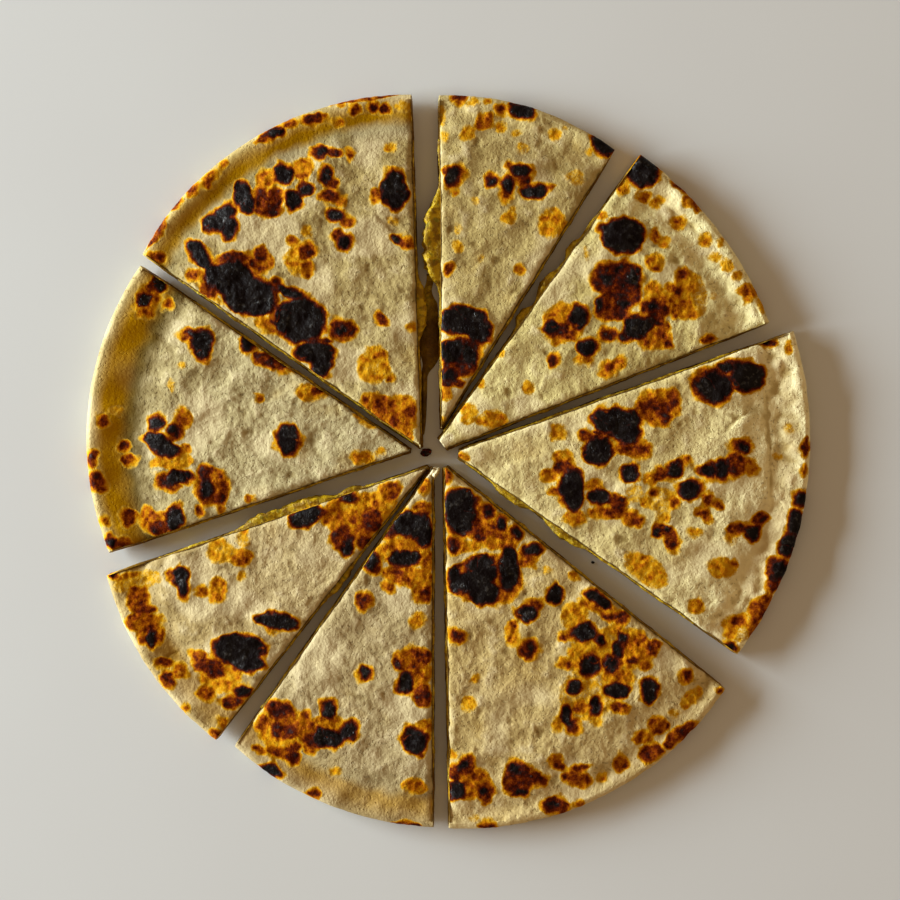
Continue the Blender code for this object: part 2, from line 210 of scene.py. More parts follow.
# One row a mark: middle x and y, length, width where it isn't the length, and the length's
# direction where it isn't 0. The marks of a slice are grouped by depth.
Mark = namedtuple("Mark", "x y length width direction")
MARKS = {
    "nw": {
        CHAR: (
            (-78, 79.5, 8, 5.5), (-74.5, 83, 7, 5, 30), (-73, 77.5, 4, 7), (-67.8, 88, 11, 5, -65),
            (-55, 96, 7, 4.5, -50), (-47.5, 90.5, 5, 4, 30), (-51.5, 87, 5), (-43, 103, 4),
            (-40.5, 95.5, 3.5, 5), (-37.3, 81.5, 5, 3.5), (-34.8, 73.3, 5, 4.5),
            (-18, 90, 8.2, 12.5), (-17.3, 73.9, 4, 2.5, -20), (-83.3, 69.2, 11, 4.8, -52),
            (-72, 61, 13, 11), (-66.3, 54.7, 17, 12, -10), (-79, 62, 5, 7), (-52.5, 56, 8, 3, -20),
            (-49.3, 47.2, 16, 14), (-44.5, 36.3, 13, 6), (-42.5, 33, 6.5, 9), (-35.6, 44, 4.5, 3),
            (-57.5, 109.8, 5, 2, 25)),
        RED: (
            (-97.5, 68.3, 4.5, 2.8), (-62.5, 88.5, 4, 6), (-58, 88, 5, 6), (-60, 84, 8, 5),
            (-38.5, 103.2, 5, 2.5), (-39.8, 88, 6, 4), (-37, 75.5, 3), (-47.3, 70, 5),
            (-62.5, 69.3, 4), (-60, 108.8, 9, 3, 25), (-53, 112.8, 4, 1.8, 20),
            (-45, 114.3, 7, 3.5, 10), (-30.8, 117.8, 2.6, 2.8), (-25.2, 118.2, 2.4, 3),
            (-21.4, 117.6, 2.4, 2.6), (-85.5, 90.8, 3.5, 1.5, 45), (-81, 92.3, 1.5),
            (-80, 57, 6, 5), (-56.8, 58.2, 4, 5), (-44, 40.5, 10, 2), (-35.2, 43.8, 8, 6),
            (-72, 67.7, 10, 2.5), (-22.8, 47.6, 4.5, 3, -60), (-69.5, 62, 5, 3, -30)),
        BROWN: (
            (-33, 102.7, 2, 3), (-39, 92.5, 5, 4), (-36, 87, 3, 2.5), (-34, 79.5, 4, 3.5),
            (-24, 88.5, 3, 4), (-13.5, 72.8, 4, 3.5), (-66.3, 66.5, 5, 3.5), (-51.5, 65.5, 3, 2),
            (-84.5, 62, 5, 3.5), (-97, 76.5, 12, 2, 55), (-91, 86, 5, 2, 45),
            (-79.5, 95, 5, 2.5, 45), (-36, 118.7, 2, 1.2), (-75, 100, 3, 1, 45),
            (-58.2, 51, 4, 11), (-23, 19.5, 4), (-21.5, 15.5, 4), (-18, 13, 2.5, 4.5),
            (-12.3, 17, 2.5, 6), (-26.2, 121.4, 27, 1.2, 9)),
        TOAST: (
            (-48.5, 97.5, 6, 7), (-60.5, 94.5, 7, 5, 20), (-51.8, 73, 4, 3), (-46.8, 64, 4, 5),
            (-63.5, 66.5, 10, 8), (-37, 113.5, 4, 1.5), (-61, 45.5, 8, 4, -35),
            (-12.3, 44.8, 1.8, 1.6), (-20.5, 15.5, 20, 10, -38), (-13.5, 14, 5, 15),
            (-19.5, 27.5, 2, 2.5), (-23.5, 35.5, 4, 3)),
        GOLD: (
            (-47.5, 77, 3.5, 3), (-19.5, 104.5, 3), (-25, 32, 10, 12), (-50, 67.5, 8, 9),
            (-41, 28.5, 4, 2.5), (-17, 17, 12, 10)),
        TINT: (
            (-18.5, 80, 4, 3), (-15, 118.8, 6, 2.5), (-80, 56, 12, 3, -40)),
    },
    "w": {
        CHAR: (
            (-96.5, 59.3, 5, 3.8, -35), (-101.8, 53.8, 3.8, 4.8), (-82, 39.2, 6.5, 9.5),
            (-53.3, 7.2, 7, 10.5), (-97.6, 12.6, 5, 4.4), (-91.5, 10.3, 4.6, 3.5),
            (-95.5, 5.5, 12, 5.3, -24), (-89.5, -5, 8.3, 4.5), (-80.9, -9, 4.5, 7.3),
            (-91.5, -19.2, 9, 5.2, 75), (-112.4, -26.7, 3.2, 3.6), (-66.8, 39, 4.5)),
        RED: (
            (-99.5, 58.5, 3), (-87, 42.5, 3.5, 2.5), (-66.3, 39.2, 6), (-56.8, 33, 7, 4.3, -15),
            (-61.5, 34, 5.5, 3.5), (-43.3, 23.7, 3), (-115.5, 14, 3, 3.8), (-108.6, 5.5, 3.5, 3),
            (-118.5, 1, 3, 4.8), (-117.8, -6.5, 4, 5.5), (-116, -9.3, 3, 1.8),
            (-94.5, -6.5, 5, 5.3), (-76.4, -11.9, 4.8, 4.5), (-81, -3.3, 5, 3.3),
            (-106.7, -18.5, 4, 5.3), (-97, -22, 6, 4.6)),
        BROWN: (
            (-101, 49.3, 2.2), (-93.6, 52.6, 2.6, 3), (-106.8, 0.7, 4.8, 3.2),
            (-88.2, 13.3, 4, 4, 60), (-93, -8.5, 8, 2.5), (-79, -8.5, 10.5, 12),
            (-83, -16.5, 2.2, 3), (-75.5, -16, 2.4, 2), (-114.6, -20.2, 2.3, 2.5),
            (-108.2, -27, 4.5, 3), (-66.5, -12.5, 2.3), (-30.3, 1.4, 3)),
        TOAST: (
            (-100.5, 54, 13, 6.5, 72), (-54.2, 31.5, 4, 2), (-63.4, 21.4, 2.4, 2.6),
            (-27.3, 1.3, 4, 3.5), (-88.3, 14.5, 4.5, 6.5), (-88, 4, 3, 4), (-100, -18.5, 5.5),
            (-97, -20.5, 9, 7)),
        GOLD: (
            (-27.4, 14, 8, 3.6, -30), (-23, 3.4, 2.2, 2.4), (-92, 0, 14, 4), (-46, 22.7, 8.5, 5)),
        TINT: (
            (-88.5, 32, 2.4, 2), (-92.5, 25.5, 1.5, 4), (-111, 17, 5, 3)),
    },
    "sw": {
        CHAR: (
            (-89.2, -38.3, 4.8, 7.5), (-88.2, -42.5, 3.2, 5.5), (-47.5, -17.8, 10.5, 6, 20),
            (-57.3, -53.5, 14, 4.8, -12), (-70, -62.5, 17, 9.5), (-67, -67, 10, 6),
            (-33.8, -28.3, 4, 5), (-98.8, -59, 3, 6), (-68.3, -76.8, 5.3, 3.4),
            (-33.5, -12.6, 3, 2.6)),
        RED: (
            (-112.5, -38.3, 2.8, 2), (-103.8, -43.8, 5, 3.5), (-101.5, -49, 6.5, 2.6),
            (-94.8, -67, 4.5, 2.5), (-93.8, -73, 5, 3.6, -50), (-77.8, -91.5, 2.5, 3),
            (-80.5, -68, 9, 4), (-78, -70.5, 5, 4), (-72, -80.2, 7, 3.2), (-33.5, -12.3, 6, 4.5),
            (-25.4, -19.5, 7, 7.5), (-35, -25.5, 7.5), (-27, -27, 4.5, 4), (-67.9, -32.6, 2, 2.5)),
        BROWN: (
            (-102, -53.5, 11, 6), (-99.5, -58, 8, 6), (-103.5, -47, 7), (-92.7, -38, 2.2, 3.5),
            (-89.5, -70, 4, 5), (-88, -82.5, 1.5), (-75.4, -87.3, 3), (-81, -77.3, 6, 4.6),
            (-83.5, -66, 5), (-40.7, -18.3, 3.5, 4.5), (-19.3, -9.8, 6), (-29, -23, 6, 5),
            (-82.3, -43.3, 2.6, 2.2), (-68.3, -22.8, 1.7, 1.3)),
        TOAST: (
            (-76.8, -43, 5, 7), (-69, -32.3, 6.5, 5), (-38, -14.5, 4.5, 4), (-33.5, -18.5, 9, 5),
            (-22.8, -15.5, 5, 6), (-75, -75, 5, 4), (-36.5, -21.5, 6, 5), (-107, -38, 8, 2, 15)),
        GOLD: (
            (-76.3, -29.3, 7.5, 8), (-68.8, -38, 1.2, 1.5), (-28, -17, 22, 12, 25),
            (-76, -72, 14, 10)),
        TINT: (
            (-68.5, -26, 4, 5), (-104, -40, 16, 6, 15)),
    },
    "s": {
        CHAR: (
            (-12.5, -21, 12, 8.5, -10), (-8.3, -24.5, 5, 8.5), (-15.2, -32.4, 10.3, 4.6, 10),
            (-25, -33, 4, 5.5), (-27.6, -70.3, 3.2), (-14.2, -73.5, 5, 6.5), (-11, -93, 7.4, 8.8),
            (-40, -82.5, 4.5, 5.5), (-40.3, -92, 10.5, 6), (-33.8, -90.6, 5.5, 4.6, 30),
            (-32, -88.6, 3), (-59, -103.3, 6.5, 3, -20)),
        RED: (
            (-20.5, -22.8, 5), (-25.3, -33, 5.5, 7), (-7.5, -44.4, 3.3, 3.8),
            (-27.5, -70.5, 5, 4.6), (-8.3, -78, 5.6, 7.5), (-7.5, -65.5, 4, 3.5),
            (-17, -67.3, 3, 3.5), (-56.6, -82.8, 8, 5.5), (-54, -90, 10, 5),
            (-57.5, -97.3, 4, 2.6), (-51.2, -95.8, 3, 2.5), (-52, -99.2, 4.5, 3),
            (-45, -111.2, 4.5, 1.8, -10), (-14, -121.3, 9, 1, -8), (-28.2, -47, 3),
            (-45.5, -93, 5)),
        BROWN: (
            (-12, -65.5, 12, 6.5), (-56.3, -83, 7.5, 5.5), (-62, -87.3, 4, 5), (-47.8, -88, 5, 10),
            (-55.5, -97.5, 11, 4.2, -20), (-63.5, -96, 2.5, 2), (-56, -86.5, 10, 9),
            (-46.5, -96, 3), (-28.2, -46.7, 5, 5.5), (-16.5, -37.3, 2.5, 3), (-20, -41.5, 3, 2.5),
            (-8.5, -15.8, 5.5, 4.3), (-13, -107.6, 2.4, 2)),
        TOAST: (
            (-10.2, -53.4, 4.8, 5), (-8, -88, 5, 3.5), (-14, -28, 15, 5), (-13.5, -38, 17, 6, -8),
            (-8.5, -43.5, 6), (-8, -8, 4, 4.5), (-11, -108.5, 6.5, 4.4), (-7, -33, 4, 8),
            (-10.5, -70.5, 9, 8), (-40, -87.5, 9, 5)),
        GOLD: (
            (-38, -103.5, 3, 2.2), (-53, -90, 20, 13), (-21.5, -30, 5)),
    },
    "se": {
        CHAR: (
            (3.7, -15.5, 11, 12.5), (4.5, -21.5, 6), (13.3, -17, 2.6, 2.8), (17.6, -20.6, 3, 4),
            (22.5, -23.5, 4.3, 3, -25), (20.3, -35.5, 6.3, 15), (27.8, -29.2, 6.5, 3.5, 12),
            (11.3, -36.5, 9.8, 10), (11.8, -43.3, 10, 9), (2.2, -39, 4.8, 8), (6.5, -40.5, 8, 6),
            (35.4, -44.5, 4.3, 6), (26, -50.5, 7, 4.8), (50, -45.7, 10, 4.3, -30),
            (45.3, -56.8, 8, 5.5), (50.3, -59.5, 3.2), (38, -58.4, 1), (47, -68, 6.1, 7.4),
            (54, -67.3, 5, 4), (56.6, -62.5, 3.3, 5.5), (58, -58.3, 3, 2.8), (42, -75.5, 4.8),
            (49, -81.4, 3.2, 6), (56, -76.3, 8, 4.5), (67, -76, 5, 7.2), (39, -84.8, 4, 6.5),
            (22.3, -102.8, 3.2, 2.4), (23.5, -110.4, 4.5, 2.2), (5.2, -101.3, 2.6, 3),
            (2.3, -110, 5.3, 5.8), (11.6, -110.3, 2.4, 3.4), (35.2, -115, 4.6, 2.2),
            (27.5, -62.6, 2, 2.6)),
        RED: (
            (-0.8, -4.3, 2, 4.2), (10.8, -25, 3.5), (2, -27.5, 4, 4.3), (3.2, -58, 4.6),
            (27, -62.3, 5.5, 6, -40), (28.5, -47.8, 4, 3), (53.8, -51.4, 5.5, 1.8, -5),
            (58, -52.3, 3.6), (68.2, -61.5, 5.5, 3.3, 45), (79.2, -71.2, 2.5, 3),
            (77.5, -91.3, 13, 3.6, 35), (67.8, -97.5, 7, 5, 30), (37, -101.3, 3.5, 2, -15),
            (44, -102.3, 5, 2.2, 10), (40.5, -105, 5.3, 3), (23.2, -105.8, 9.5, 10.5),
            (6.2, -101.5, 4.8, 6), (2, -103.5, 4.6, 4), (29, -105.8, 3.8),
            (12.2, -110.3, 5.2, 6.5), (35.7, -115, 8, 5.3), (12.2, -121.7, 4.5, 1.3, -3),
            (41.3, -87.8, 4), (54, -67, 6.5, 5.5), (39.8, -68.2, 2), (61, -66.6, 3.3, 2)),
        BROWN: (
            (26.3, -33.3, 5.5, 4), (63, -60.3, 3, 2.5), (65, -68, 4, 2.5), (57.2, -81.8, 6.3, 3.4),
            (70.2, -88.2, 6.3, 5.3), (57.5, -100.8, 4.6), (43.5, -106.2, 8, 4),
            (31.6, -106.8, 2.5, 3), (91, -76.5, 1.5, 2.3), (43.9, -47.6, 1.8),
            (43.3, -114.7, 2.5, 1.5), (40.5, -57.8, 3, 2), (8.8, -72.7, 1.2), (9.5, -105, 4, 3),
            (6, -18.5, 11, 13), (12.5, -39.5, 24, 15), (13, -22.5, 13, 4, -22), (63.5, -92, 3),
            (44, -82, 4, 3.5)),
        TOAST: (
            (13, -23.5, 22, 9, -22), (38.5, -67, 5, 4), (43.5, -82, 4, 4.5), (36.6, -87.5, 3, 4),
            (65.2, -92.3, 5.5, 4.3), (35.5, -99.6, 5, 3), (21.5, -57, 4.3, 8.5),
            (8, -107.5, 12, 10), (79, -72, 4.4), (48, -47.5, 8, 5, -20), (63, -62, 8, 9),
            (57, -71.5, 10, 5)),
        GOLD: (
            (81, -79, 8.5, 3.8, 40), (6.7, -80.2, 4.4, 3.8), (75.5, -84.3, 2.5, 1.5),
            (49, -86.3, 4.5, 3), (51, -105.5, 2.5), (0.7, -97.5, 2, 3),
            (41.3, -38.3, 3.5, 2.3, -35), (42, -51, 9, 7), (58, -62, 20, 14, -10),
            (44, -64, 8, 14), (8, -28.3, 16, 3, 12)),
        TINT: (
            (8.3, -119, 2.5, 1.6), (33, -36.2, 2.2), (46, -78, 18, 16)),
    },
    "e": {
        CHAR: (
            (88.5, 24.8, 11.5, 9.2), (99.4, 28.3, 11, 10), (92.7, 31.5, 5, 3),
            (56, 13.6, 16, 8.3, -8), (59.6, 9.2, 8.3, 6.6), (49.8, 3.7, 9.3, 9.6), (60.3, -4, 5.6),
            (41.5, -9.7, 6.8, 14), (38.3, -9, 3, 4.6), (50, -11.8, 6.8, 4.3), (75.3, -3, 5, 4.6),
            (80.2, -9.5, 6.8, 6.2), (86.5, -3, 5, 4.4), (91, -2.5, 4, 5.6), (98.4, 4.4, 4, 2.8),
            (70.8, -23, 4.8, 3.6), (101.3, -23.5, 4.6, 5), (116, -20.5, 5, 8),
            (113.7, -28, 8, 5, 62), (110.3, -36.5, 5.5, 7), (94.3, -61.8, 3.3, 2),
            (117.5, -12.8, 4, 4.6)),
        RED: (
            (66.3, 18.5, 5, 3.4), (71, 17, 6, 4.4), (74.6, 20.5, 3.3, 5.6), (71.8, 14.3, 4),
            (46, 8.6, 4, 3), (52.5, 9.3, 8, 1.4, -12), (38.5, -1.8, 5.5, 4),
            (56, -13.7, 4.8, 3.8, -20), (63, -20, 3.6, 2.6), (95.5, -1.5, 6, 7.5),
            (97.5, 5, 6.3, 4.3), (70.6, -4.2, 4, 4.5), (75.4, -13.4, 3, 2.4), (74, -26, 4, 4.6),
            (103.8, -19, 6, 3.3, 20), (96, -22.8, 6, 3), (119.2, 5, 1.8, 5.3), (96.8, -53, 4.8, 3),
            (107.4, 39.5, 4.3, 2.4), (117.3, -12.8, 4.8, 5.6), (109.6, -36.3, 6.6, 8),
            (108.3, -41, 4, 5), (84, -17, 3, 2.2), (86.6, -12.6, 3.4, 3), (88, 25, 14, 11.5)),
        BROWN: (
            (63.7, 3.7, 7.5, 4), (58, 4.5, 5.5, 3), (35.5, -10.3, 5, 2.4),
            (61.4, -19.3, 6, 4, -25), (79, 0, 3, 2.4), (68.5, -10.8, 2, 1.4),
            (89.6, -14.5, 3, 2, -30), (86, -19, 2.6, 2, -40), (119.2, -3, 1.5, 3),
            (105, -48, 14, 3.6, 58), (103.5, -50, 6, 5), (68.5, 17.5, 12, 8), (101.5, -56, 3, 5),
            (54, -16.5, 8, 2.6)),
        TOAST: (
            (4.8, 1.2, 3.6, 2.4), (33.8, -4.5, 5.5, 3.4), (38, 1.5, 6, 4), (48.5, -8, 6, 3),
            (42, -18.8, 7.5, 4), (53, -16.8, 13, 4), (67.5, -6.3, 4), (100, -1.8, 6, 4.6),
            (93.8, -25, 2.4, 3), (75.5, -27.5, 3), (95.5, -33.8, 2.4), (82.5, -48, 4, 4.6),
            (94, -54.5, 5, 4), (94.6, -58, 3), (114, 38.5, 2, 3), (70, 18, 14, 11), (63, 4, 9, 6)),
        GOLD: (
            (36.3, 10, 4.6, 5.2), (66, -36.2, 15, 8, -35), (66.3, -36, 12, 5.5, -35),
            (91.3, -35.6, 8.5, 6.4), (82, -23.8, 4, 2.8), (66, -14, 4, 3), (72, -18.5, 3, 2.5)),
        TINT: (
            (114, 10.8, 3, 3.4), (110, 1.7, 3.4, 2.6), (71, -13, 11, 8, -10), (62, -11, 5, 6),
            (97.6, -57.5, 5)),
    },
    "ne": {
        CHAR: (
            (65, 97, 9.8), (57.9, 75.4, 13, 11.6), (51.8, 78.3, 3, 2.4), (62, 44.6, 8, 7.3),
            (66, 45.2, 4), (58.3, 41.2, 2.6, 2), (43, 48.3, 5.4, 8), (34.2, 44.5, 4.6),
            (46.3, 38, 6.3, 5), (52.4, 61.6, 4.6, 2.4), (61.8, 61.5, 4.4, 6.2), (50, 52.5, 2.6, 4),
            (58.5, 53, 4.4, 3), (57, 64.3, 3, 2.2), (68.5, 51.4, 4, 3)),
        RED: (
            (56.3, 60.8, 16, 11), (54.5, 51.5, 12, 9), (37.5, 44.3, 4, 4.6), (68.7, 51, 9, 5.3),
            (69.3, 46.8, 4), (78, 62.5, 2.6), (73.3, 39.5, 2.4, 2), (53, 42.3, 5.4, 3.8),
            (34.9, 34, 2, 3.6), (53, 31.5, 3.2, 2.2), (86.3, 40.3, 4.5, 1.6, 10),
            (77, 91.6, 4.5, 1.8, -38), (60, 57, 8, 10)),
        BROWN: (
            (73.8, 58, 3), (77, 57, 2.8), (80.5, 58, 1.8, 2), (78.5, 52, 2.2, 2.4), (81, 49, 3),
            (75.5, 50, 2.6, 4), (69.5, 42.5, 4, 3), (57.5, 33.2, 2.8, 2), (68.7, 75.5, 2.4, 4),
            (65.8, 88.5, 2.6, 2.4), (82.8, 84.8, 3.4, 2, -35), (99, 57, 3, 3.4), (67.5, 67, 2.2),
            (69.5, 64.5, 2, 1.6), (72, 45, 3), (76.3, 80.6, 1.5), (40.5, 42.5, 4, 3)),
        TOAST: (
            (72, 52, 5, 6), (79, 51, 6, 5), (68.5, 41, 12, 6.5), (38, 46, 13, 12, 20),
            (45.3, 34.2, 4.6, 2.4), (54.5, 31.2, 8.5, 3.6, 20), (58.2, 91.8, 3.4, 4.2),
            (80.8, 86.6, 5, 3.4, -35), (77, 79.8, 2.6), (17, 15, 4, 2), (50.8, 82.3, 3.4, 2.4),
            (101, 55.5, 3, 6, -60)),
        GOLD: (
            (26.5, 24.6, 3.4, 3.8), (69.8, 86.8, 3.6, 2.8), (79, 59.5, 8), (10.8, 26.3, 2.2, 3),
            (6, 18, 4.4, 3.2), (17, 36, 2, 1.8), (68, 56, 5, 8), (75, 53.5, 13, 9, -15),
            (69, 66, 6, 5.4), (64.3, 88.6, 5, 3.2, -15), (77, 79.8, 4.4), (85.7, 74.3, 4, 4.2),
            (91.3, 73, 2, 3), (89.3, 68.5, 2.6), (93, 65.2, 3.2, 4), (96.4, 62, 2.8),
            (72, 73.3, 3.8), (6.8, 15, 5, 4.6), (14.4, 13.7, 10, 4.6)),
        TINT: (
            (88.3, 55, 2), (45.7, 69.8, 1.5, 3.6), (104.5, 52, 2, 5, 20), (80, 55, 12, 16)),
    },
    "n": {
        CHAR: (
            (1.7, 95.2, 6.6, 4.2, 62), (14, 93.2, 2.8, 3), (19.8, 91.7, 3.8, 4.8),
            (24, 96.9, 5.8, 4.2), (28.4, 90, 8.3, 4), (24.4, 117.3, 7.4, 4.6, -10),
            (51.5, 105.4, 8.3, 4.8, -35), (4.5, 46.7, 16.5, 9, -6), (10.2, 43.2, 8),
            (0.8, 36.8, 8.6, 8), (7, 35.3, 5, 6.5), (-0.3, 28.6, 5.6, 4.2)),
        RED: (
            (0, 64.1, 3, 3.3), (3.7, 121.3, 4.8, 1.9), (25, 94, 5, 2.5), (19, 88.2, 2.2, 2),
            (34, 91.4, 3.4, 1.2), (14, 93.2, 3.4, 3.6), (4, 31.5, 11, 7), (4, 38.5, 13, 5),
            (1.3, 26, 7.5, 2.6), (48.6, 108, 2.6, 2.4), (-1.2, 96, 1.3)),
        BROWN: (
            (2.3, 89.4, 1.4, 1.2), (20.8, 98.6, 2.4, 2), (10.6, 112.6, 2.6, 2),
            (17.2, 117.4, 2.8, 2.3), (13.5, 114.6, 2, 3), (32.5, 81, 2)),
        TOAST: (
            (12, 113.6, 5.4, 4.4, 30), (23.5, 64, 2.8, 3.3), (-1.3, 22.4, 4.4, 3.4),
            (13.5, 120.7, 2, 1.4), (36.5, 80.5, 4)),
        GOLD: (
            (6.4, 109.5, 4.2), (17.2, 112, 2.8, 3), (35.7, 109.5, 4.6, 3.3), (34.8, 79.4, 9, 8.6),
            (3, 72.3, 2.8, 3.4), (19.9, 81.3, 4), (8.5, 120, 3.4, 2), (-2.5, 14, 2),
            (47, 103.5, 1.6, 1.4)),
        TINT: (
            (25, 104.8, 3.3, 3), (22.4, 109.5, 3, 1.6), (-1.5, 108.3, 3),
            (20.5, 83.5, 2.4, 4, -20), (38.6, 111.5, 1.6, 1.8), (42.3, 94.8, 5, 4.6),
            (3, 77.3, 2.3, 2.5), (10.3, 67.5, 1.2, 2.4), (-2.3, 115.5, 2.4, 7), (9, 87, 2.5),
            (29.2, 48.3, 2, 3)),
    },
}
# How much of the oily ochre sheen lies on a slice's rim, and where it starts and is full, counted
# from the groove in parts of the reach
RIM_OIL = {
    "n": (0.1, -0.02, 0.02), "ne": (0.2, -0.02, 0.02), "e": (0.3, -0.02, 0.02),
    "se": (0.2, -0.02, 0.02), "s": (0.6, -0.025, 0.01), "sw": (0.5, -0.02, 0.015),
    "w": (1.08, -0.07, 0.035), "nw": (1.12, -0.028, 0.007)}
# Painted shade on the slope to the groove: how dark it makes the skin, and how wide that is in
# parts of the reach
SLOPE_PAINTED_SHADE = {"w": 1.0, "nw": 0.5, "s": 0.2}
SLOPE_PAINTED_SHADE_WIDTH = 0.034
# How deeply a slice's rim is crimped, and how wide the crimps are
CRIMPED = {"n": 0.8, "ne": 0.9, "e": 1.2, "se": 0.5, "s": 0.3, "sw": 0.3, "w": 0.0, "nw": 0.2}
CRIMP_WIDTH = 0.035
# How smooth the skin of a slice's rim is
RIM_CALM = {"n": 0.3, "ne": 0.15, "e": 0.15, "se": 0.2, "s": 0.5, "sw": 0.5, "w": 0.85, "nw": 0.85}
# Creases in the skin: slice, from x and y to x and y
CREASES = (
    ("sw", -95.0, -66.0, -89.0, -63.0), ("e", 92.0, 11.0, 101.0, 17.0),
    ("nw", -25.0, 82.7, -16.0, 75.0), ("e", 106.0, 30.0, 108.5, -20.0),
    ("ne", 66.0, 91.5, 90.0, 71.0))
CREASE_DEPTH, CREASE_WIDTH = 0.30, 0.6
# Torn, pale dough at the tips: middle x and y, and radius
PALE = {
    "s": ((-4.9, -4.0, 2.9),),
    "ne": ((-1.9, 6.4, 2.2), (-3.2, 8.2, 1.6), (0.3, 8.0, 1.6)),
    "e": ((3.4, 3.9, 1.8), (5.6, 5.0, 1.8)),
}
# The colour of a slice's bare skin, as it looks on a screen: partly its own colour and partly
# painted light and shade, set slice by slice
SKIN = {
    "n": (182, 161, 103), "ne": (231, 218, 157), "e": (234, 219, 163), "se": (191, 166, 108),
    "s": (181, 161, 116), "sw": (205, 185, 137), "w": (200, 187, 144), "nw": (197, 179, 126)}
# Painted light and shade: how light that skin is made at these fractions of the reach: near the
# tip, in the middle, on the slope and at the rim
PAINTED_LIGHT_TONE_AT = (0.3, 0.63, 0.82, 0.96)
PAINTED_LIGHT_TONE = {
    "n": (1.08, 1.04, 0.97, 1.4), "ne": (0.85, 0.62, 0.83, 1.38), "e": (0.85, 0.68, 1.12, 1.42),
    "se": (1.16, 1.06, 1.15, 1.52), "s": (1.15, 1.06, 1.23, 0.96), "sw": (0.97, 0.95, 0.57, 0.78),
    "w": (0.95, 0.87, 0.65, 0.78), "nw": (0.93, 0.77, 0.7, 0.84)}
# How strongly the skin of a slice is wrinkled
WRINKLED = {"n": 1.0, "ne": 1.1, "e": 1.1, "se": 1.3, "s": 1.3, "sw": 1.4, "w": 1.6, "nw": 1.4}
# Where the painted tone darkens skin it also yellows it: the powers that it has in red, green and
# blue
PAINTED_LIGHT_TONE_POWERS = (0.8, 1.0, 1.5, 0.0)

# ---------------------------------------------------------------- colours, as on a screen
# Painted highlight: raised bare skin is lightened towards this
PAINTED_HIGHLIGHT_SKIN = (222, 205, 164)
OCHRE_SKIN = (184, 150, 74)
PUFFED_SKIN = (224, 207, 164)
OILY_SKIN = (178, 130, 4)
TORN_DOUGH = (228, 214, 172)
# Cut crumb: partly its own yellow colour, and darkened with painted shade of the narrow gaps
# between slices
CUT_DOUGH_AND_PAINTED_SHADE = ((136, 98, 18), (84, 54, 4))
# Painted highlight: raised golden skin is lightened towards this
PAINTED_HIGHLIGHT_GOLD = (224, 172, 60)
# Browned skin, by its depth in parts of DEEPEST
DEEPEST = 1.4
BROWNED = (
    (0.10, (208, 178, 100)), (0.18, (208, 164, 52)), (0.26, (202, 147, 20)),
    (0.36, (183, 113, 9)), (0.45, (144, 71, 6)), (0.53, (100, 35, 7)), (0.62, (56, 16, 9)),
    (0.76, (15, 8, 8)))
MASH = ((200, 164, 14), (146, 110, 8))
PANEER = (222, 196, 62)
GREEN_FLECKS = (112, 108, 10)
# Painted shade on the smear, where the gap is deep
PAINTED_SHADE_MASH = (92, 62, 8)
FLOOR = ((212, 215, 218), (209, 211, 214))
# How rough and how glossy surfaces are, and how deep their bumps are in millimetres
FILLING_ROUGH, FILLING_GLOSS, FILLING_BUMP = 0.45, 0.25, 0.7
FLOOR_ROUGH, FLOOR_GLOSS = 0.6, 0.2
DOUGH_BUMP = 0.25
GRAIN_SHAKE, FINE_SHAKE = 0.28, 0.18   # how unsteady the depth of browning is
# What darkens skin, as shares of red, green and blue: random mottling, and painted shade in
# hollows, in pits and on the slope to the groove
MOTTLED = (0.72, 0.68, 0.58, 1.0)
PAINTED_HOLLOW_SHADE = (0.46, 0.38, 0.22, 1.0)
PAINTED_PIT_SHADE = (0.38, 0.30, 0.16, 1.0)
SLOPE_PAINTED_SHADE_COLOUR = (0.26, 0.25, 0.19, 1.0)

# ---------------------------------------------------------------- light and camera
CAMERA_HEIGHT = 750.0
CAMERA_MIDDLE = (0.5, 3.83)  # in the bread's frame
VIEW_WIDTH = 300.0           # what the camera sees across, at the height of the bread's top
BREAD_TOP = 7.0
SENSOR = 36.0

WINDOW_PLACE = (-2.0, 0.36, 0.43)    # metres
WINDOW_SIZE = (1.5, 0.62)
WINDOW_POWER = 135.0
WINDOW_COLOUR = (0.87, 0.98, 1.0)
ROOM_HORIZON = (0.52, 0.34, 0.20, 1.0)
ROOM_ZENITH = (0.54, 0.37, 0.20, 1.0)
ROOM_STRENGTH = 0.68
FLOOR_HALF = 12.0            # metres


# ================================================================ noise and small maths

RANDOM = np.random.default_rng(20)
ORDER = RANDOM.permutation(256)
SLOPES = RANDOM.normal(size=(256, 3))
SLOPES /= np.linalg.norm(SLOPES, axis=1, keepdims=True)
CORNERS = [np.array((i, j, k)) for i in (0, 1) for j in (0, 1) for k in (0, 1)]


def noise(points, period, seed=0.0):
    """Smooth gradient noise, about -1 to 1, at points in millimetres."""
    cell = points / period + seed * SEED_STEP
    base = np.floor(cell).astype(int)
    local = cell - base
    fade = local ** 3 * (local * (local * 6.0 - 15.0) + 10.0)
    total = np.zeros(len(points))
    for corner in CORNERS:
        i, j, k = (base + corner).T & 255
        slope = SLOPES[ORDER[(ORDER[(ORDER[i] + j) & 255] + k) & 255]]
        weight = np.prod(np.where(corner, fade, 1.0 - fade), axis=1)
        total += weight * np.sum(slope * (local - corner), axis=1)
    return total * NOISE_GAIN


def layered(points, recipe, seed=0.0):
    """The sum of a recipe's noises at points."""
    return sum(amount * noise(points, period, seed + own) for amount, period, own in recipe)


def smooth(low, high, value):
    """0 below low, 1 above high, with a smooth ramp between."""
    ramp = np.clip((value - low) / (high - low), 0.0, 1.0)
    return ramp * ramp * (3.0 - 2.0 * ramp)


# ================================================================ the bread's form

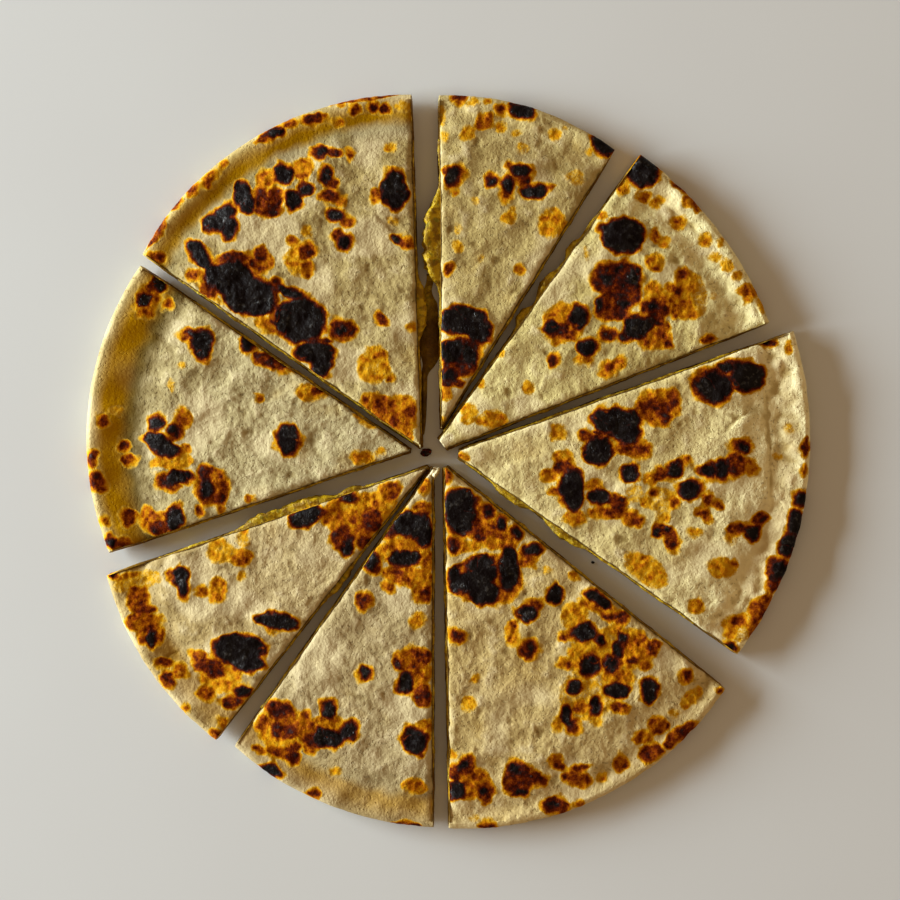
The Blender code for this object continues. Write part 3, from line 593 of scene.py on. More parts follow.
def top_height(cut_slice, fraction):
    """Height of the upper surface without the lip."""
    groove = cut_slice.groove
    plateau = PLATEAU - DOME_FALL * (fraction / (groove - SLOPE)) ** 2
    fall = ((1.0 - STEP_SHARE) * smooth(groove - SLOPE, groove, fraction)
            + STEP_SHARE * smooth(groove - STEP, groove, fraction))
    return plateau + (GROOVE_HEIGHT - plateau) * fall


def lip_height(cut_slice, fraction):
    return LIP_RISE * cut_slice.lip * smooth(cut_slice.groove, LIP_CREST, fraction)


def reach_at(cut_slice, share):
    """How far the rim is from the apex, at shares of the way between the cuts."""
    first, middle, last = cut_slice.reach
    return (first * (1.0 - share) * (1.0 - 2.0 * share) + middle * 4.0 * share * (1.0 - share)
            + last * share * (2.0 * share - 1.0))


def swell_at(x, y):
    """The soft hills, the same for all slices."""
    turn = 2.0 * math.pi / SWELL_WAVE
    hills = np.sin(turn * (x + 0.4 * y)) * np.cos(turn * (0.9 * y - 0.3 * x))
    return SWELL * (hills + 0.5 * np.sin(turn * 1.9 * (0.6 * x - y)) - 0.5)


def squeezed_out(cut_slice, cut, distance):
    """How far the filling comes out of a cut, at distances from the apex."""
    out = SQUEEZE * (0.55 + 0.45 * np.sin(distance / 3.1 + 2.0 * cut))
    for lump in LUMPS:
        if (lump.slice_name, lump.cut) == (cut_slice.name, cut):
            offset = (distance - lump.middle) / (0.5 * lump.length)
            out = out + lump.out * np.exp(-offset ** 4)
    return out * smooth(SHY_TIP, 2.2 * SHY_TIP, distance)


def spread(start, end, step):
    """Evenly spaced values from start to end, about a step apart, both ends included."""
    return np.linspace(start, end, max(2, int(round(abs(end - start) / step)) + 1))


def graded(length, ends, step):
    """Shares of a row's length: fine at both ends, as ends says, and a step apart between."""
    if length < 2.2 * ends[-1]:
        return spread(0.0, 1.0, step / max(length, step))
    middle = spread(ends[-1], length - ends[-1], step)
    marks = np.concatenate((ends[:-1], middle, length - np.array(ends[-2::-1])))
    return marks / length


# ================================================================ rows of points and their faces

class Rows:
    """Rows of points, each from a slice's first cut to its second, round the piece's section."""

    def __init__(self, cut_slice, tip):
        self.cut_slice = cut_slice
        self.tip = tip
        self.rows = []
        self.shares = []
        self.count = 0

    def add(self, fraction, height, kind, ends, step):
        """One row at a fraction of the reach and a height, with a word for where it is."""
        cut_slice = self.cut_slice
        opening = math.radians(cut_slice.end - cut_slice.start)
        length = max(fraction * cut_slice.reach[1], self.tip) * opening
        share = graded(length, ends, step)
        self.rows.append((fraction, height, kind, self.count, len(share)))
        self.shares.append(share)
        self.count += len(share)
        return len(self.rows) - 1

    def indices(self, row):
        start, size = self.rows[row][3:]
        return np.arange(start, start + size)

    def flat(self):
        """Share, fraction, height and kind of every point."""
        sizes = [row[4] for row in self.rows]
        columns = [np.repeat([row[i] for row in self.rows], sizes) for i in (0, 1, 2)]
        return np.concatenate(self.shares), columns[0], columns[1], columns[2]


def placed(rows):
    """Points of all rows, with their shares of the way between the cuts and their kinds."""
    share, fraction, height, kind = rows.flat()
    x, y = spots(rows.cut_slice, rows.tip, share, fraction)
    return np.stack((x, y, loosened(x, y, height)), axis=1), share, kind


def skinned(rows, loop):
    """Triangles between each row of a closed loop of rows and the next."""
    return [zipper(rows.indices(row), rows.shares[row],
                   rows.indices(following), rows.shares[following])
            for row, following in zip(loop, loop[1:] + loop[:1])]


def zipper(first, first_at, second, second_at):
    """Triangles between two rows of points, given where along the row each point lies."""
    middles = np.concatenate(((first_at[1:] + first_at[:-1]) / 2.0,
                              (second_at[1:] + second_at[:-1]) / 2.0))
    on_first = np.arange(len(middles)) < len(first_at) - 1
    order = np.argsort(middles, kind="stable")
    on_first = on_first[order]
    done_first = np.cumsum(on_first) - on_first
    done_second = np.cumsum(~on_first) - ~on_first
    corner = np.where(on_first, first[np.minimum(done_first + 1, len(first) - 1)],
                      second[np.minimum(done_second + 1, len(second) - 1)])
    return np.stack((first[done_first], second[done_second], corner), axis=1)


def with_cut_faces(rows, points, share, lines, strips, step, places):
    """Points, their shares and lists of triangles, with those of both cut faces.

    lines holds rows: an outer and an inner line, and what starts and ends each strip between."""
    triangles = []
    for cut, end in ((0, 0), (1, -1)):
        outer, inner, starts, ends = [np.array([rows.indices(row)[end] for row in line])
                                      for line in lines]
        new, faces = cut_lines(outer, inner, places(points[outer]), places(points[inner]), points,
                               strips, starts, ends, step)
        points = np.concatenate((points, new))
        triangles.append(faces if cut == 0 else faces[:, ::-1])
        share = np.concatenate((share, np.full(len(new), float(cut))))
    return points, share, triangles


def chain_places(points):
    """How far along a line of points each lies, from 0 to 1."""
    steps = np.linalg.norm(np.diff(points, axis=0), axis=1)
    places = np.concatenate(((0.0,), np.cumsum(np.maximum(steps, 1e-6))))
    return places / places[-1]


def tip_distance(cut_slice, tip, share):
    """Distance from the apex of the straight torn end of the tip."""
    half = math.radians(cut_slice.end - cut_slice.start) / 2.0
    return tip * math.cos(half) / np.cos((2.0 * share - 1.0) * half)


def spots(cut_slice, tip, share, fraction):
    """x and y of points at shares of the way between the cuts and fractions of the reach."""
    start = tip_distance(cut_slice, tip, share)
    reach = reach_at(cut_slice, share)
    least = tip / cut_slice.reach[1]
    progress = (fraction - least) / (1.0 - least)
    distance = start + progress * (reach - start)
    turn = np.radians(cut_slice.start + share * (cut_slice.end - cut_slice.start))
    return (cut_slice.apex[0] + distance * np.cos(turn),
            cut_slice.apex[1] + distance * np.sin(turn))


def cut_lines(outer, inner, outer_at, inner_at, places, strips, starts, ends, step):
    """Points and triangles of a cut face between an outer and an inner line of points.

    starts and ends hold the points that the rows across the tip already give each strip."""
    count = len(places)
    new_points = []
    triangles = []
    lines = [(outer, outer_at)]
    outer_xyz, inner_xyz = places[outer], places[inner]
    for strip in range(1, strips):
        share = strip / strips
        length = (1.0 - share) * np.linalg.norm(np.diff(outer_xyz, axis=0), axis=1).sum()
        length += share * np.linalg.norm(np.diff(inner_xyz, axis=0), axis=1).sum()
        at = spread(0.0, 1.0, step / length)
        blend = [(1.0 - share) * np.interp(at, outer_at, outer_xyz[:, i])
                 + share * np.interp(at, inner_at, inner_xyz[:, i]) for i in (0, 1, 2)]
        points = np.stack(blend, axis=1)[1:-1]
        index = np.concatenate(((starts[strip - 1],), np.arange(count, count + len(points)),
                                (ends[strip - 1],)))
        new_points.append(points)
        count += len(points)
        lines.append((index, at))
    lines.append((inner, inner_at))
    for (above, above_at), (below, below_at) in zip(lines[:-1], lines[1:]):
        triangles.append(zipper(above, above_at, below, below_at))
    return np.concatenate(new_points), np.concatenate(triangles)


# ================================================================ building a slice's dough

def crust_chain(cut_slice):
    """Outer section: fraction, height and kind of each row, from tip over the rim to tip."""
    least = cut_slice.blunt / cut_slice.reach[1]
    reach = cut_slice.reach[1]
    chain = [(f, top_height(cut_slice, f) + lip_height(cut_slice, f), TOP)
             for f in spread(least, LIP_CREST, CELL / reach)]
    crest = chain[-1][1]
    for step in range(1, NOSE_ROWS + 1):
        turn = math.pi * (0.5 - step / NOSE_ROWS)
        half = (crest - NOSE_HEIGHT) if turn > 0 else (NOSE_HEIGHT - UNDERSIDE_LIFT)
        chain.append((LIP_CREST + (1.0 - LIP_CREST) * math.cos(turn),
                      NOSE_HEIGHT + half * math.sin(turn), NOSE))
    under = spread(LIP_CREST, SOLE_EDGE, SOLE_CELL / reach)[1:]
    chain += [(f, UNDERSIDE_LIFT * (f - SOLE_EDGE) / (LIP_CREST - SOLE_EDGE), SOLE) for f in under]
    chain += [(f, 0.0, SOLE) for f in spread(SOLE_EDGE, least, SOLE_CELL / reach)[1:]]
    return chain


def pocket_chain(cut_slice, back, inset, tip, step):
    """Section of the pocket or the filling: fraction and height, over its top and back below."""
    reach = cut_slice.reach[1]
    least = tip / reach
    edge = cut_slice.groove - back
    shoulder = cut_slice.groove - SHOULDER_BACK
    upper = spread(least, shoulder, step / reach)
    rise = top_height(cut_slice, shoulder) - LAYER - inset
    low = LAYER + inset
    closing = (rise + low) / 2.0
    taper = spread(shoulder, edge, step / reach)[1:]
    blend = (taper - shoulder) / (edge - shoulder)
    chain = [(f, top_height(cut_slice, f) - LAYER - inset) for f in upper]
    chain += [(f, rise + (closing - rise) * b) for f, b in zip(taper, blend)]
    chain += [(f, low + (closing - low) * b) for f, b in zip(taper[-2::-1], blend[-2::-1])]
    chain += [(f, low) for f in upper[::-1]]
    return chain


def loosened(x, y, z):
    """Height of a point with the soft hills."""
    return z + smooth(FIRM_BELOW, LOOSE_ABOVE, z) * swell_at(x, y)


def dough_mesh(cut_slice):
    """Points and triangles of a slice's dough, with the points' shares and kinds."""
    tip = cut_slice.blunt
    rows = Rows(cut_slice, tip)
    outer_rows = []
    for fraction, height, kind in crust_chain(cut_slice):
        ends, step = (EDGE_STEPS, CELL) if kind != SOLE else (POCKET_STEPS, SOLE_CELL)
        outer_rows.append(rows.add(fraction, height, kind, ends, step))
    pocket = pocket_chain(cut_slice, POCKET_BACK, 0.0, tip, POCKET_CELL)
    least, low = pocket[-1]
    low_tip = [rows.add(least, low * strip / CUT_LINES, TIP, EDGE_STEPS, CELL)
               for strip in range(1, CUT_LINES)]
    inner_rows = [rows.add(f, z, POCKET, POCKET_STEPS, POCKET_COARSE) for f, z in pocket[::-1]]
    high = top_height(cut_slice, least)
    top_tip = [rows.add(least, high - LAYER * strip / CUT_LINES, TIP, EDGE_STEPS, CELL)
               for strip in range(CUT_LINES - 1, 0, -1)]

    points, share, kind = placed(rows)
    triangles = skinned(rows, outer_rows + low_tip + inner_rows + top_tip)
    lines = (outer_rows, inner_rows[::-1], top_tip[::-1], low_tip)
    points, share, faces = with_cut_faces(rows, points, share, lines, CUT_LINES, CELL,
                                          lambda line: section_places(line, cut_slice))
    kind = np.concatenate((kind, np.full(len(points) - len(kind), CUT)))
    return points, np.concatenate(triangles + faces), share, kind


def section_places(points, cut_slice):
    """Where along the section each point lies: 0 to 0.5 above, 0.5 to 1 below."""
    distance = np.hypot(points[:, 0] - cut_slice.apex[0], points[:, 1] - cut_slice.apex[1])
    far = int(np.argmax(distance))
    above = chain_places(points[:far + 1]) * 0.5
    below = 0.5 + chain_places(points[far:]) * 0.5
    return np.concatenate((above, below[1:]))


def frame_of(cut_slice, points):
    """Distance from the apex, and distance from and outward direction of the nearer cut."""
    across = points[:, :2] - np.array(cut_slice.apex)
    distance = np.linalg.norm(across, axis=1)
    gaps = []
    outward = []
    for degrees, side in ((cut_slice.start, -1.0), (cut_slice.end, 1.0)):
        turn = math.radians(degrees)
        out = side * np.array((-math.sin(turn), math.cos(turn)))
        gaps.append(-across @ out)
        outward.append(out)
    nearer = gaps[0] < gaps[1]
    gap = np.where(nearer, gaps[0], gaps[1])
    return distance, np.maximum(gap, 0.0), np.where(nearer[:, None], outward[0], outward[1])


def as_mark(x, y, length, width=None, direction=0):
    return Mark(x, y, length, width or length, direction)


def outside_mark(mark, x, y):
    """How far outside a mark's outline places are, less than 0 inside it."""
    turn = math.radians(mark.direction)
    u = (x - mark.x) * math.cos(turn) + (y - mark.y) * math.sin(turn)
    v = (y - mark.y) * math.cos(turn) - (x - mark.x) * math.sin(turn)
    ring = ((np.abs(2.0 * u / mark.length) ** SQUARISH + np.abs(2.0 * v / mark.width) ** SQUARISH)
            ** (1.0 / SQUARISH))
    return np.hypot(u, v) * (1.0 - 1.0 / np.maximum(ring, 0.05))


def mottled(points, burn):
    """Browning made uneven, and cracked where it is charred."""
    mottle = layered(points, MOTTLE)
    mottle = np.maximum(mottle, 0.6 * mottle)
    patchy = smooth(0.12, 0.5, burn) * (1.0 - 0.65 * smooth(0.95, 1.25, burn))
    cracks = (smooth(0.10, 0.0, np.abs(noise(points, 5.5, 24)))
              * smooth(0.0, 0.4, noise(points, 9.0, 25)))
    burn = burn + mottle * patchy - CRACKED * cracks * smooth(0.8, 1.1, burn)
    return np.maximum(burn, 0.0)


def browning(cut_slice, points):
    """How deeply the surface is browned by the slice's marks, with ragged edges, and how much it
    has puffed up round them."""
    x = points[:, 0] + layered(points, RAGGED, 1)
    y = points[:, 1] + layered(points, RAGGED, 3)
    halo = HALO * 2.0 ** (1.1 * noise(points, 3.8, 5))
    total = np.zeros(len(points))
    blister = np.zeros(len(points))
    for level, rows in MARKS[cut_slice.name].items():
        edge = min(EDGE_SHARE * level, CHAR_EDGE)
        for row in rows:
            mark = as_mark(*row)
            outside = outside_mark(mark, x, y)
            beyond = np.maximum(outside, 0.0)
            fading = edge * np.exp(-(beyond / halo) ** FADING)
            total += np.minimum(level, fading - BURN_SLOPE * np.minimum(outside, 0.0)) ** BLEND
            puff = min(PUFF_SHARE * min(mark.length, mark.width), PUFF_MOST) * min(level, 1.0)
            blister = np.maximum(blister, puff * np.exp(-(beyond / BLISTER_WIDTH) ** 2))
    return mottled(points, total ** (1.0 / BLEND)), blister


def relief(cut_slice, points, kind, fraction, burn, blister):
    """How far the skin stands out from the smooth form, in millimetres, and how puffed it is."""
    name = cut_slice.name
    puffed = smooth(0.10, 0.55, noise(points, 15.0, 30) + 1.2 * blister)
    grain = layered(points, GRAIN) + 0.44 * np.minimum(0.2, noise(points, 1.7, 8))
    fine = WRINKLE * WRINKLED[name] * grain * (1.0 - 0.45 * puffed)
    pits = -PIT_DEPTH * smooth(0.45, 0.80, noise(points, 5.2, 12)) * (1.0 - puffed)
    flakes = 1.0 - 2.0 * np.abs(noise(points, 3.4, 13)) + 0.5 * noise(points, 1.3, 41)
    char = FLAKE_HEIGHT * smooth(0.8, 1.1, burn) * flakes
    golden = smooth(0.12, 0.3, burn) * smooth(1.0, 0.7, burn)
    past = fraction - cut_slice.groove + 0.015 * noise(points, 6.0, 26)
    calm = 1.0 - RIM_CALM[name] * smooth(-STEP, -0.2 * STEP, past)
    crimps = CRIMPED[name] * layered(points, CRIMPS) * np.exp(-((past - 0.02) / CRIMP_WIDTH) ** 2)
    height = ((layered(points, BUMPS) + fine + pits) * calm + crimps + char
              + golden * layered(points, PUCKERS) + blister - creased(name, points))
    return np.where(kind == TOP, height, 0.6 * height), puffed


def creased(name, points):
    """How deep the creases of a slice are at points."""
    depth = np.zeros(len(points))
    for slice_name, from_x, from_y, to_x, to_y in CREASES:
        if slice_name != name:
            continue
        length = math.hypot(to_x - from_x, to_y - from_y)
        along = np.array((to_x - from_x, to_y - from_y)) / length
        offset = points[:, :2] - (from_x, from_y)
        place = offset @ along
        aside = offset @ (-along[1], along[0]) + 0.8 * noise(points, 4.0, 42)
        ends = smooth(0.0, 0.2, place / length) * smooth(1.0, 0.8, place / length)
        depth += CREASE_DEPTH * ends * np.exp(-(aside / CREASE_WIDTH) ** 2)
    return depth


def skin_with_painted_light(name, fraction):
    """The bare skin's colour at fractions of the reach, with painted light and shade."""
    painted_tone = np.interp(fraction, PAINTED_LIGHT_TONE_AT, PAINTED_LIGHT_TONE[name])
    return np.stack([value * painted_tone ** power
                     for value, power in zip(linear(*SKIN[name]), PAINTED_LIGHT_TONE_POWERS)], axis=1)


def pale_at(name, points):
    """Where the dough is torn and pale."""
    pale = np.zeros(len(points))
    for middle_x, middle_y, radius in PALE.get(name, ()):
        apart = np.hypot(points[:, 0] - middle_x, points[:, 1] - middle_y)
        apart = apart + 0.5 * noise(points, 2.0, 33)
        pale = np.maximum(pale, smooth(radius + 0.5, radius - 0.7, apart))
    return pale


def eased(z):
    """Heights held back towards the highest that the bread reaches."""
    over = np.maximum(z - EASED_ABOVE, 0.0)
    return z - over + EASED_BY * np.tanh(over / EASED_BY)


def shaped_dough(cut_slice):
    """A slice's dough with its relief, rounded edges and fields."""
    points, triangles, share, kind = dough_mesh(cut_slice)
    distance, gap, outward = frame_of(cut_slice, points)
    fraction = distance / reach_at(cut_slice, share)
    burn, blister = browning(cut_slice, points)
    height, puffed = relief(cut_slice, points, kind, fraction, burn, blister)

    nose_turn = np.clip((points[:, 2] - NOSE_HEIGHT) / NOSE_HALF, -1.0, 1.0)
    rise = np.where(kind == NOSE, nose_turn, np.where(kind == TOP, 1.0, 0.0))
    push = np.where(kind == NOSE, np.sqrt(1.0 - nose_turn ** 2), 0.0)
    radial = points[:, :2] - np.array(cut_slice.apex)
    radial /= np.maximum(np.linalg.norm(radial, axis=1), 1e-6)[:, None]
    rounding = 1.0 - np.clip(gap / EDGE_WIDTH, 0.0, 1.0)
    drop = EDGE_DROP * (1.0 - np.sqrt(1.0 - rounding ** 2)) * (kind == TOP)
    wave = CUT_WAVE * noise(points * (1.0, 1.0, 0.3), 9.0, 16)
    lean = LEAN * (1.0 - points[:, 2] / LEAN_FROM)
    side = (lean + wave + layered(points, CUT_CRUMB)) * np.exp(-gap / CUT_ROUGH)

    points = points.copy()
    points[:, 2] += height * rise - drop
    points[:, :2] += radial * (height * push)[:, None] + outward * side[:, None]
    points[:, 2] = eased(np.maximum(points[:, 2], 0.0))
    fields = dough_fields(cut_slice, points, kind, fraction, burn)
    # height also drives painted shade in hollows and painted highlights on raised skin
    fields.update(puffed=puffed, height=height - blister)
    return points, triangles, fields


def dough_fields(cut_slice, points, kind, fraction, burn):
    """What the dough material reads at each point, apart from the relief."""
    name = cut_slice.name
    past = fraction - cut_slice.groove + 0.010 * noise(points, 5.0, 27)
    strength, starts, full = RIM_OIL[name]
    oil = strength * smooth(starts, full, past)
    oil = oil * (1.0 - 0.9 * smooth(0.94, 1.0, fraction)) * (0.92 + 0.16 * noise(points, 9.0, 17))
    patches = smooth(0.1, 0.75, noise(points, 16.0, 18) + 0.6 * noise(points, 5.0, 19))
    hidden_burn = np.where(kind == SOLE, SOLE_BROWNED * patches, HIDDEN_SHARE * burn)
    return {
        "burn": np.where((kind == TOP) | (kind == NOSE), burn, hidden_burn),
        "oil": np.minimum(oil, 1.0),
        # slope holds painted shade on the slope to the groove
        "slope": SLOPE_PAINTED_SHADE.get(name, 0.0) * np.exp(-((past + 0.02) / SLOPE_PAINTED_SHADE_WIDTH) ** 2),
        "inside": np.isin(kind, (POCKET, TIP, CUT)).astype(float),
        "pale": pale_at(name, points),
        # skin holds the bare skin's colour with painted light and shade
        "skin": skin_with_painted_light(name, fraction),
    }


# ================================================================ building a slice's filling

def filling_mesh(cut_slice):
    """Points and triangles of a slice's filling, with the points' shares."""
    tip = cut_slice.blunt + TIP_DISTANCE * SHY_TIP
    rows = Rows(cut_slice, tip)
    chain = pocket_chain(cut_slice, FILLING_BACK, FIT, tip, POCKET_CELL)
    around = [rows.add(f, z, TOP, POCKET_STEPS, POCKET_COARSE) for f, z in chain]
    least, low = chain[-1]
    high = chain[0][1]
    face = [rows.add(least, low + (high - low) * strip / FILLING_LINES, TIP, POCKET_STEPS,
                     POCKET_COARSE) for strip in range(1, FILLING_LINES)]
    points, share = placed(rows)[:2]
    triangles = skinned(rows, around + face)
    far = int(np.argmax([f for f, z in chain]))
    lines = (around[:far + 1], around[:far - 1:-1], face[::-1], [around[far]] * len(face))
    points, share, faces = with_cut_faces(rows, points, share, lines, FILLING_LINES, FILLING_CELL,
                                          chain_places)
    return points, np.concatenate(triangles + faces), share


def shaped_filling(cut_slice):
    """A slice's filling, pressed out of the cuts in lumps."""
    points, triangles, share = filling_mesh(cut_slice)
    distance, gap, outward = frame_of(cut_slice, points)
    out = np.where(share > 0.5, squeezed_out(cut_slice, 1, distance),
                   squeezed_out(cut_slice, 0, distance))
    lumpy = layered(points, MASH_LUMPS)
    bulge = np.sqrt(np.clip(1.0 - ((points[:, 2] - BULGE_MIDDLE) / BULGE_HALF) ** 2, 0.0, 1.0))
    reach_out = np.exp(-gap / 1.2)
    side = (out * bulge + lumpy * (0.5 + 0.35 * out) * bulge) * reach_out
    points = points.copy()
    points[:, :2] += outward * side[:, None]
    raised = np.clip(out - PRESSED_ABOVE, 0.0, 3.0) * smooth(3.4, 6.0, points[:, 2])
    points[:, 2] += raised * (0.55 + 0.3 * noise(points, 4.0, 29)) * reach_out
    return points, triangles, {}


# ================================================================ loose bits

def ring_triangles(rings, around):
    """Triangles of a closed form made of rings of points, with fans at both ends."""
    index = np.arange(rings * around).reshape(rings, around)
    here, there = index[:-1], index[1:]
    here_next, there_next = np.roll(here, -1, axis=1), np.roll(there, -1, axis=1)
    sides = [np.stack((here, here_next, there_next), axis=-1).reshape(-1, 3),
             np.stack((here, there_next, there), axis=-1).reshape(-1, 3)]
    first, last = index[0], index[-1]
    ends = [np.stack((np.full(around - 2, first[0]), first[2:], first[1:-1]), axis=1),
            np.stack((np.full(around - 2, last[0]), last[1:-1], last[2:]), axis=1)]
    return np.concatenate(sides + ends)


def cut_at(cut_slice, degrees, y):
    """Where the line of a cut crosses a height y of the bread seen from above."""
    return cut_slice.apex[0] + (y - cut_slice.apex[1]) / math.tan(math.radians(degrees))


def smear_outline(y):
    """The smear's middle, half width and share of its full height along the gap."""
    named = {cut_slice.name: cut_slice for cut_slice in SLICES}
    low = cut_at(named["nw"], named["nw"].start, y) + SMEAR_CLEAR
    high = cut_at(named["n"], named["n"].end, y) - SMEAR_CLEAR
    share = (y - SMEAR_START) / (SMEAR_END - SMEAR_START)
    taper = np.sin(math.pi * (0.01 + 0.98 * share)) ** SMEAR_BLUNT
    middle_line = np.stack((0.0 * y, y, 0.0 * y), axis=1)
    filled = smooth(*SMEAR_SPREADS, y)
    width = taper * np.clip(1.0 + 0.5 * noise(middle_line, 6.0, 39), 0.2, 1.0)
    width = width * (SMEAR_STRIP + (1.0 - SMEAR_STRIP) * filled)
    sway = (1.0 - width) * (filled * noise(middle_line, 9.0, 40) - (1.0 - filled))
    centre = (low + high + (high - low) * sway) / 2.0
    return centre, (high - low) / 2.0 * width, taper


def smear_piece():
    """A thin lumpy strip that follows the gap between slices nw and n."""
    y = np.linspace(SMEAR_START, SMEAR_END, SMEAR_ROWS)
    centre, half, taper = smear_outline(y)
    across = np.concatenate((np.linspace(-1.0, 1.0, SMEAR_ACROSS),
                             np.linspace(1.0, -1.0, SMEAR_BELOW)))
    upper = np.arange(len(across)) < SMEAR_ACROSS
    x = centre[:, None] + half[:, None] * across
    points = np.stack((x, np.repeat(y[:, None], len(across), axis=1), 0.0 * x), axis=-1)
    points = points.reshape(-1, 3)
    thick = (SMEAR_THICK * taper)[:, None] * (1.0 - 0.85 * across ** 2)
    lumps = np.maximum(1.0 + layered(points, SMEAR_LUMPS), 0.1)
    points[:, 2] = (thick * upper).ravel() * lumps
    # painted shade of the deep gap, darkening the smear
    painted_shade = smooth(*SMEAR_PAINTED_SHADE, points[:, 1]) * (0.8 + 0.3 * noise(points, 5.0, 45))
    return points, ring_triangles(SMEAR_ROWS, len(across)), {"painted_shade": painted_shade}


def bit_form(bit):
    """Points and triangles of a lumpy bit."""
    along = np.linspace(0.04, 0.96, BIT_RINGS) * math.pi
    round_turn = np.linspace(0.0, 2.0 * math.pi, BIT_AROUND, endpoint=False)
    along, round_turn = np.meshgrid(along, round_turn, indexing="ij")
    ball = np.stack((-np.cos(along), np.sin(along) * np.cos(round_turn),
                     np.sin(along) * np.sin(round_turn)), axis=-1).reshape(-1, 3)
    size = np.array((bit.length, bit.width, bit.height)) / 2.0
    local = ball * size * (1.0 + layered(ball, BIT_LUMPS, bit.seed))[:, None]
    turn = math.radians(bit.direction)
    x = local[:, 0] * math.cos(turn) - local[:, 1] * math.sin(turn)
    y = local[:, 0] * math.sin(turn) + local[:, 1] * math.cos(turn)
    points = np.stack((x, y, local[:, 2]), axis=1) + np.array(bit.middle)
    points[:, 2] = np.maximum(points[:, 2], 0.0)
    return points, ring_triangles(BIT_RINGS, BIT_AROUND)


def bit_fields(points, bit):
    """The fields that the dough material reads, for a bit."""
    zero = np.zeros(len(points))
    burn = bit.burn * (1.0 + 0.35 * noise(points, 1.0, 36))
    return {"burn": burn, "oil": zero, "slope": zero, "inside": zero, "puffed": zero,
            "pale": zero + bit.pale, "skin": skin_with_painted_light("s", zero), "height": zero}


def with_torn_tip(points, triangles, fields):
    """Slice s's dough with the pale knob of torn dough at its tip."""
    more, more_triangles = bit_form(TORN_TIP)
    more_fields = bit_fields(more, TORN_TIP)
    triangles = np.concatenate((triangles, more_triangles + len(points)))
    fields = {name: np.concatenate((values, more_fields[name]))
              for name, values in fields.items()}
    return np.concatenate((points, more)), triangles, fields


# ================================================================ objects

def add_object(name, data):
    """A new object in the scene."""
    added = bpy.data.objects.new(name, data)
    bpy.context.scene.collection.objects.link(added)
    return added


def make_piece(name, points, triangles, fields, material, node=None):
    """An object of a piece's points and faces, which may stand for a CAD node."""
    mesh = bpy.data.meshes.new(name)
    mesh.vertices.add(len(points))
    mesh.vertices.foreach_set("co", (points * MM).astype(np.float32).ravel())
    mesh.loops.add(triangles.size)
    mesh.loops.foreach_set("vertex_index", triangles.astype(np.int32).ravel())
    mesh.polygons.add(len(triangles))
    mesh.polygons.foreach_set("loop_start", np.arange(0, triangles.size, 3, dtype=np.int32))
    mesh.polygons.foreach_set("use_smooth", np.ones(len(triangles), dtype=bool))
    for field, values in fields.items():
        coloured = values.ndim > 1
        layer = mesh.attributes.new(field, "FLOAT_COLOR" if coloured else "FLOAT", "POINT")
        layer.data.foreach_set("color" if coloured else "value",
                               values.astype(np.float32).ravel())
    mesh.update(calc_edges=True)
    mesh.validate()
    mesh.materials.append(material)
    piece = add_object(name, mesh)
    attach(piece, "root")
    if node:
        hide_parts(node)


# ================================================================ materials

def linear(red, green, blue):
    """A colour given as it looks on a screen, 0 to 255."""
    values = [v / 255.0 for v in (red, green, blue)]
    return tuple(v / 12.92 if v <= 0.04045 else ((v + 0.055) / 1.055) ** 2.4
                 for v in values) + (1.0,)


class Nodes:
    """A material's node tree, with short ways to add to it."""

    def __init__(self, name):
        self.material = bpy.data.materials.new(name)
        self.material.use_nodes = True
        self.tree = self.material.node_tree
        self.shader = self.tree.nodes["Principled BSDF"]
        self.where = self.tree.nodes.new("ShaderNodeTexCoord").outputs["Object"]

    def link(self, source, target):
        """Join a socket to a target socket, or set the target to a plain value."""
        if isinstance(source, (int, float, tuple)):
            target.default_value = source
        else:
            self.tree.links.new(source, target)

    def shade(self, name, source):
        self.link(source, self.shader.inputs[name])

    def field(self, name, output="Fac"):
        node = self.tree.nodes.new("ShaderNodeAttribute")
        node.attribute_name = name
        return node.outputs[output]

    def noise(self, period, detail=2.0, roughness=0.5):
        node = self.tree.nodes.new("ShaderNodeTexNoise")
        self.link(self.where, node.inputs["Vector"])
        node.inputs["Scale"].default_value = 1.0 / (period * MM)
        node.inputs["Detail"].default_value = detail
        node.inputs["Roughness"].default_value = roughness
        return node.outputs["Fac"]

    def maths(self, operation, *values):
        node = self.tree.nodes.new("ShaderNodeMath")
        node.operation = operation
        for value, target in zip(values, node.inputs):
            self.link(value, target)
        return node.outputs["Value"]

    def times(self, first, second):
        return self.maths("MULTIPLY", first, second)

    def remap(self, value, low, high, new_low=0.0, new_high=1.0):
        node = self.tree.nodes.new("ShaderNodeMapRange")
        node.interpolation_type = "SMOOTHSTEP"
        for source, target in zip((value, low, high, new_low, new_high), node.inputs):
            self.link(source, target)
        return node.outputs["Result"]

    def mix(self, share, first, second, blend="MIX"):
        node = self.tree.nodes.new("ShaderNodeMix")
        node.data_type = "RGBA"
        node.blend_type = blend
        colours = [socket for socket in node.inputs if socket.type == "RGBA"]
        self.link(share, node.inputs["Factor"])
        self.link(first, colours[0])
        self.link(second, colours[1])
        return [socket for socket in node.outputs if socket.type == "RGBA"][0]

    def ramp(self, value, stops):
        """A colour for a value, from stops that are places and screen colours."""
        node = self.tree.nodes.new("ShaderNodeValToRGB")
        elements = node.color_ramp.elements
        while len(elements) < len(stops):
            elements.new(0.5)
        for element, (place, colour) in zip(elements, stops):
            element.position = place
            element.color = linear(*colour)
        self.link(value, node.inputs["Fac"])
        return node.outputs["Color"]

    def bump(self, height, distance):
        node = self.tree.nodes.new("ShaderNodeBump")
        node.inputs["Distance"].default_value = distance * MM
        node.inputs["Strength"].default_value = 1.0
        self.link(height, node.inputs["Height"])
        self.shade("Normal", node.outputs["Normal"])


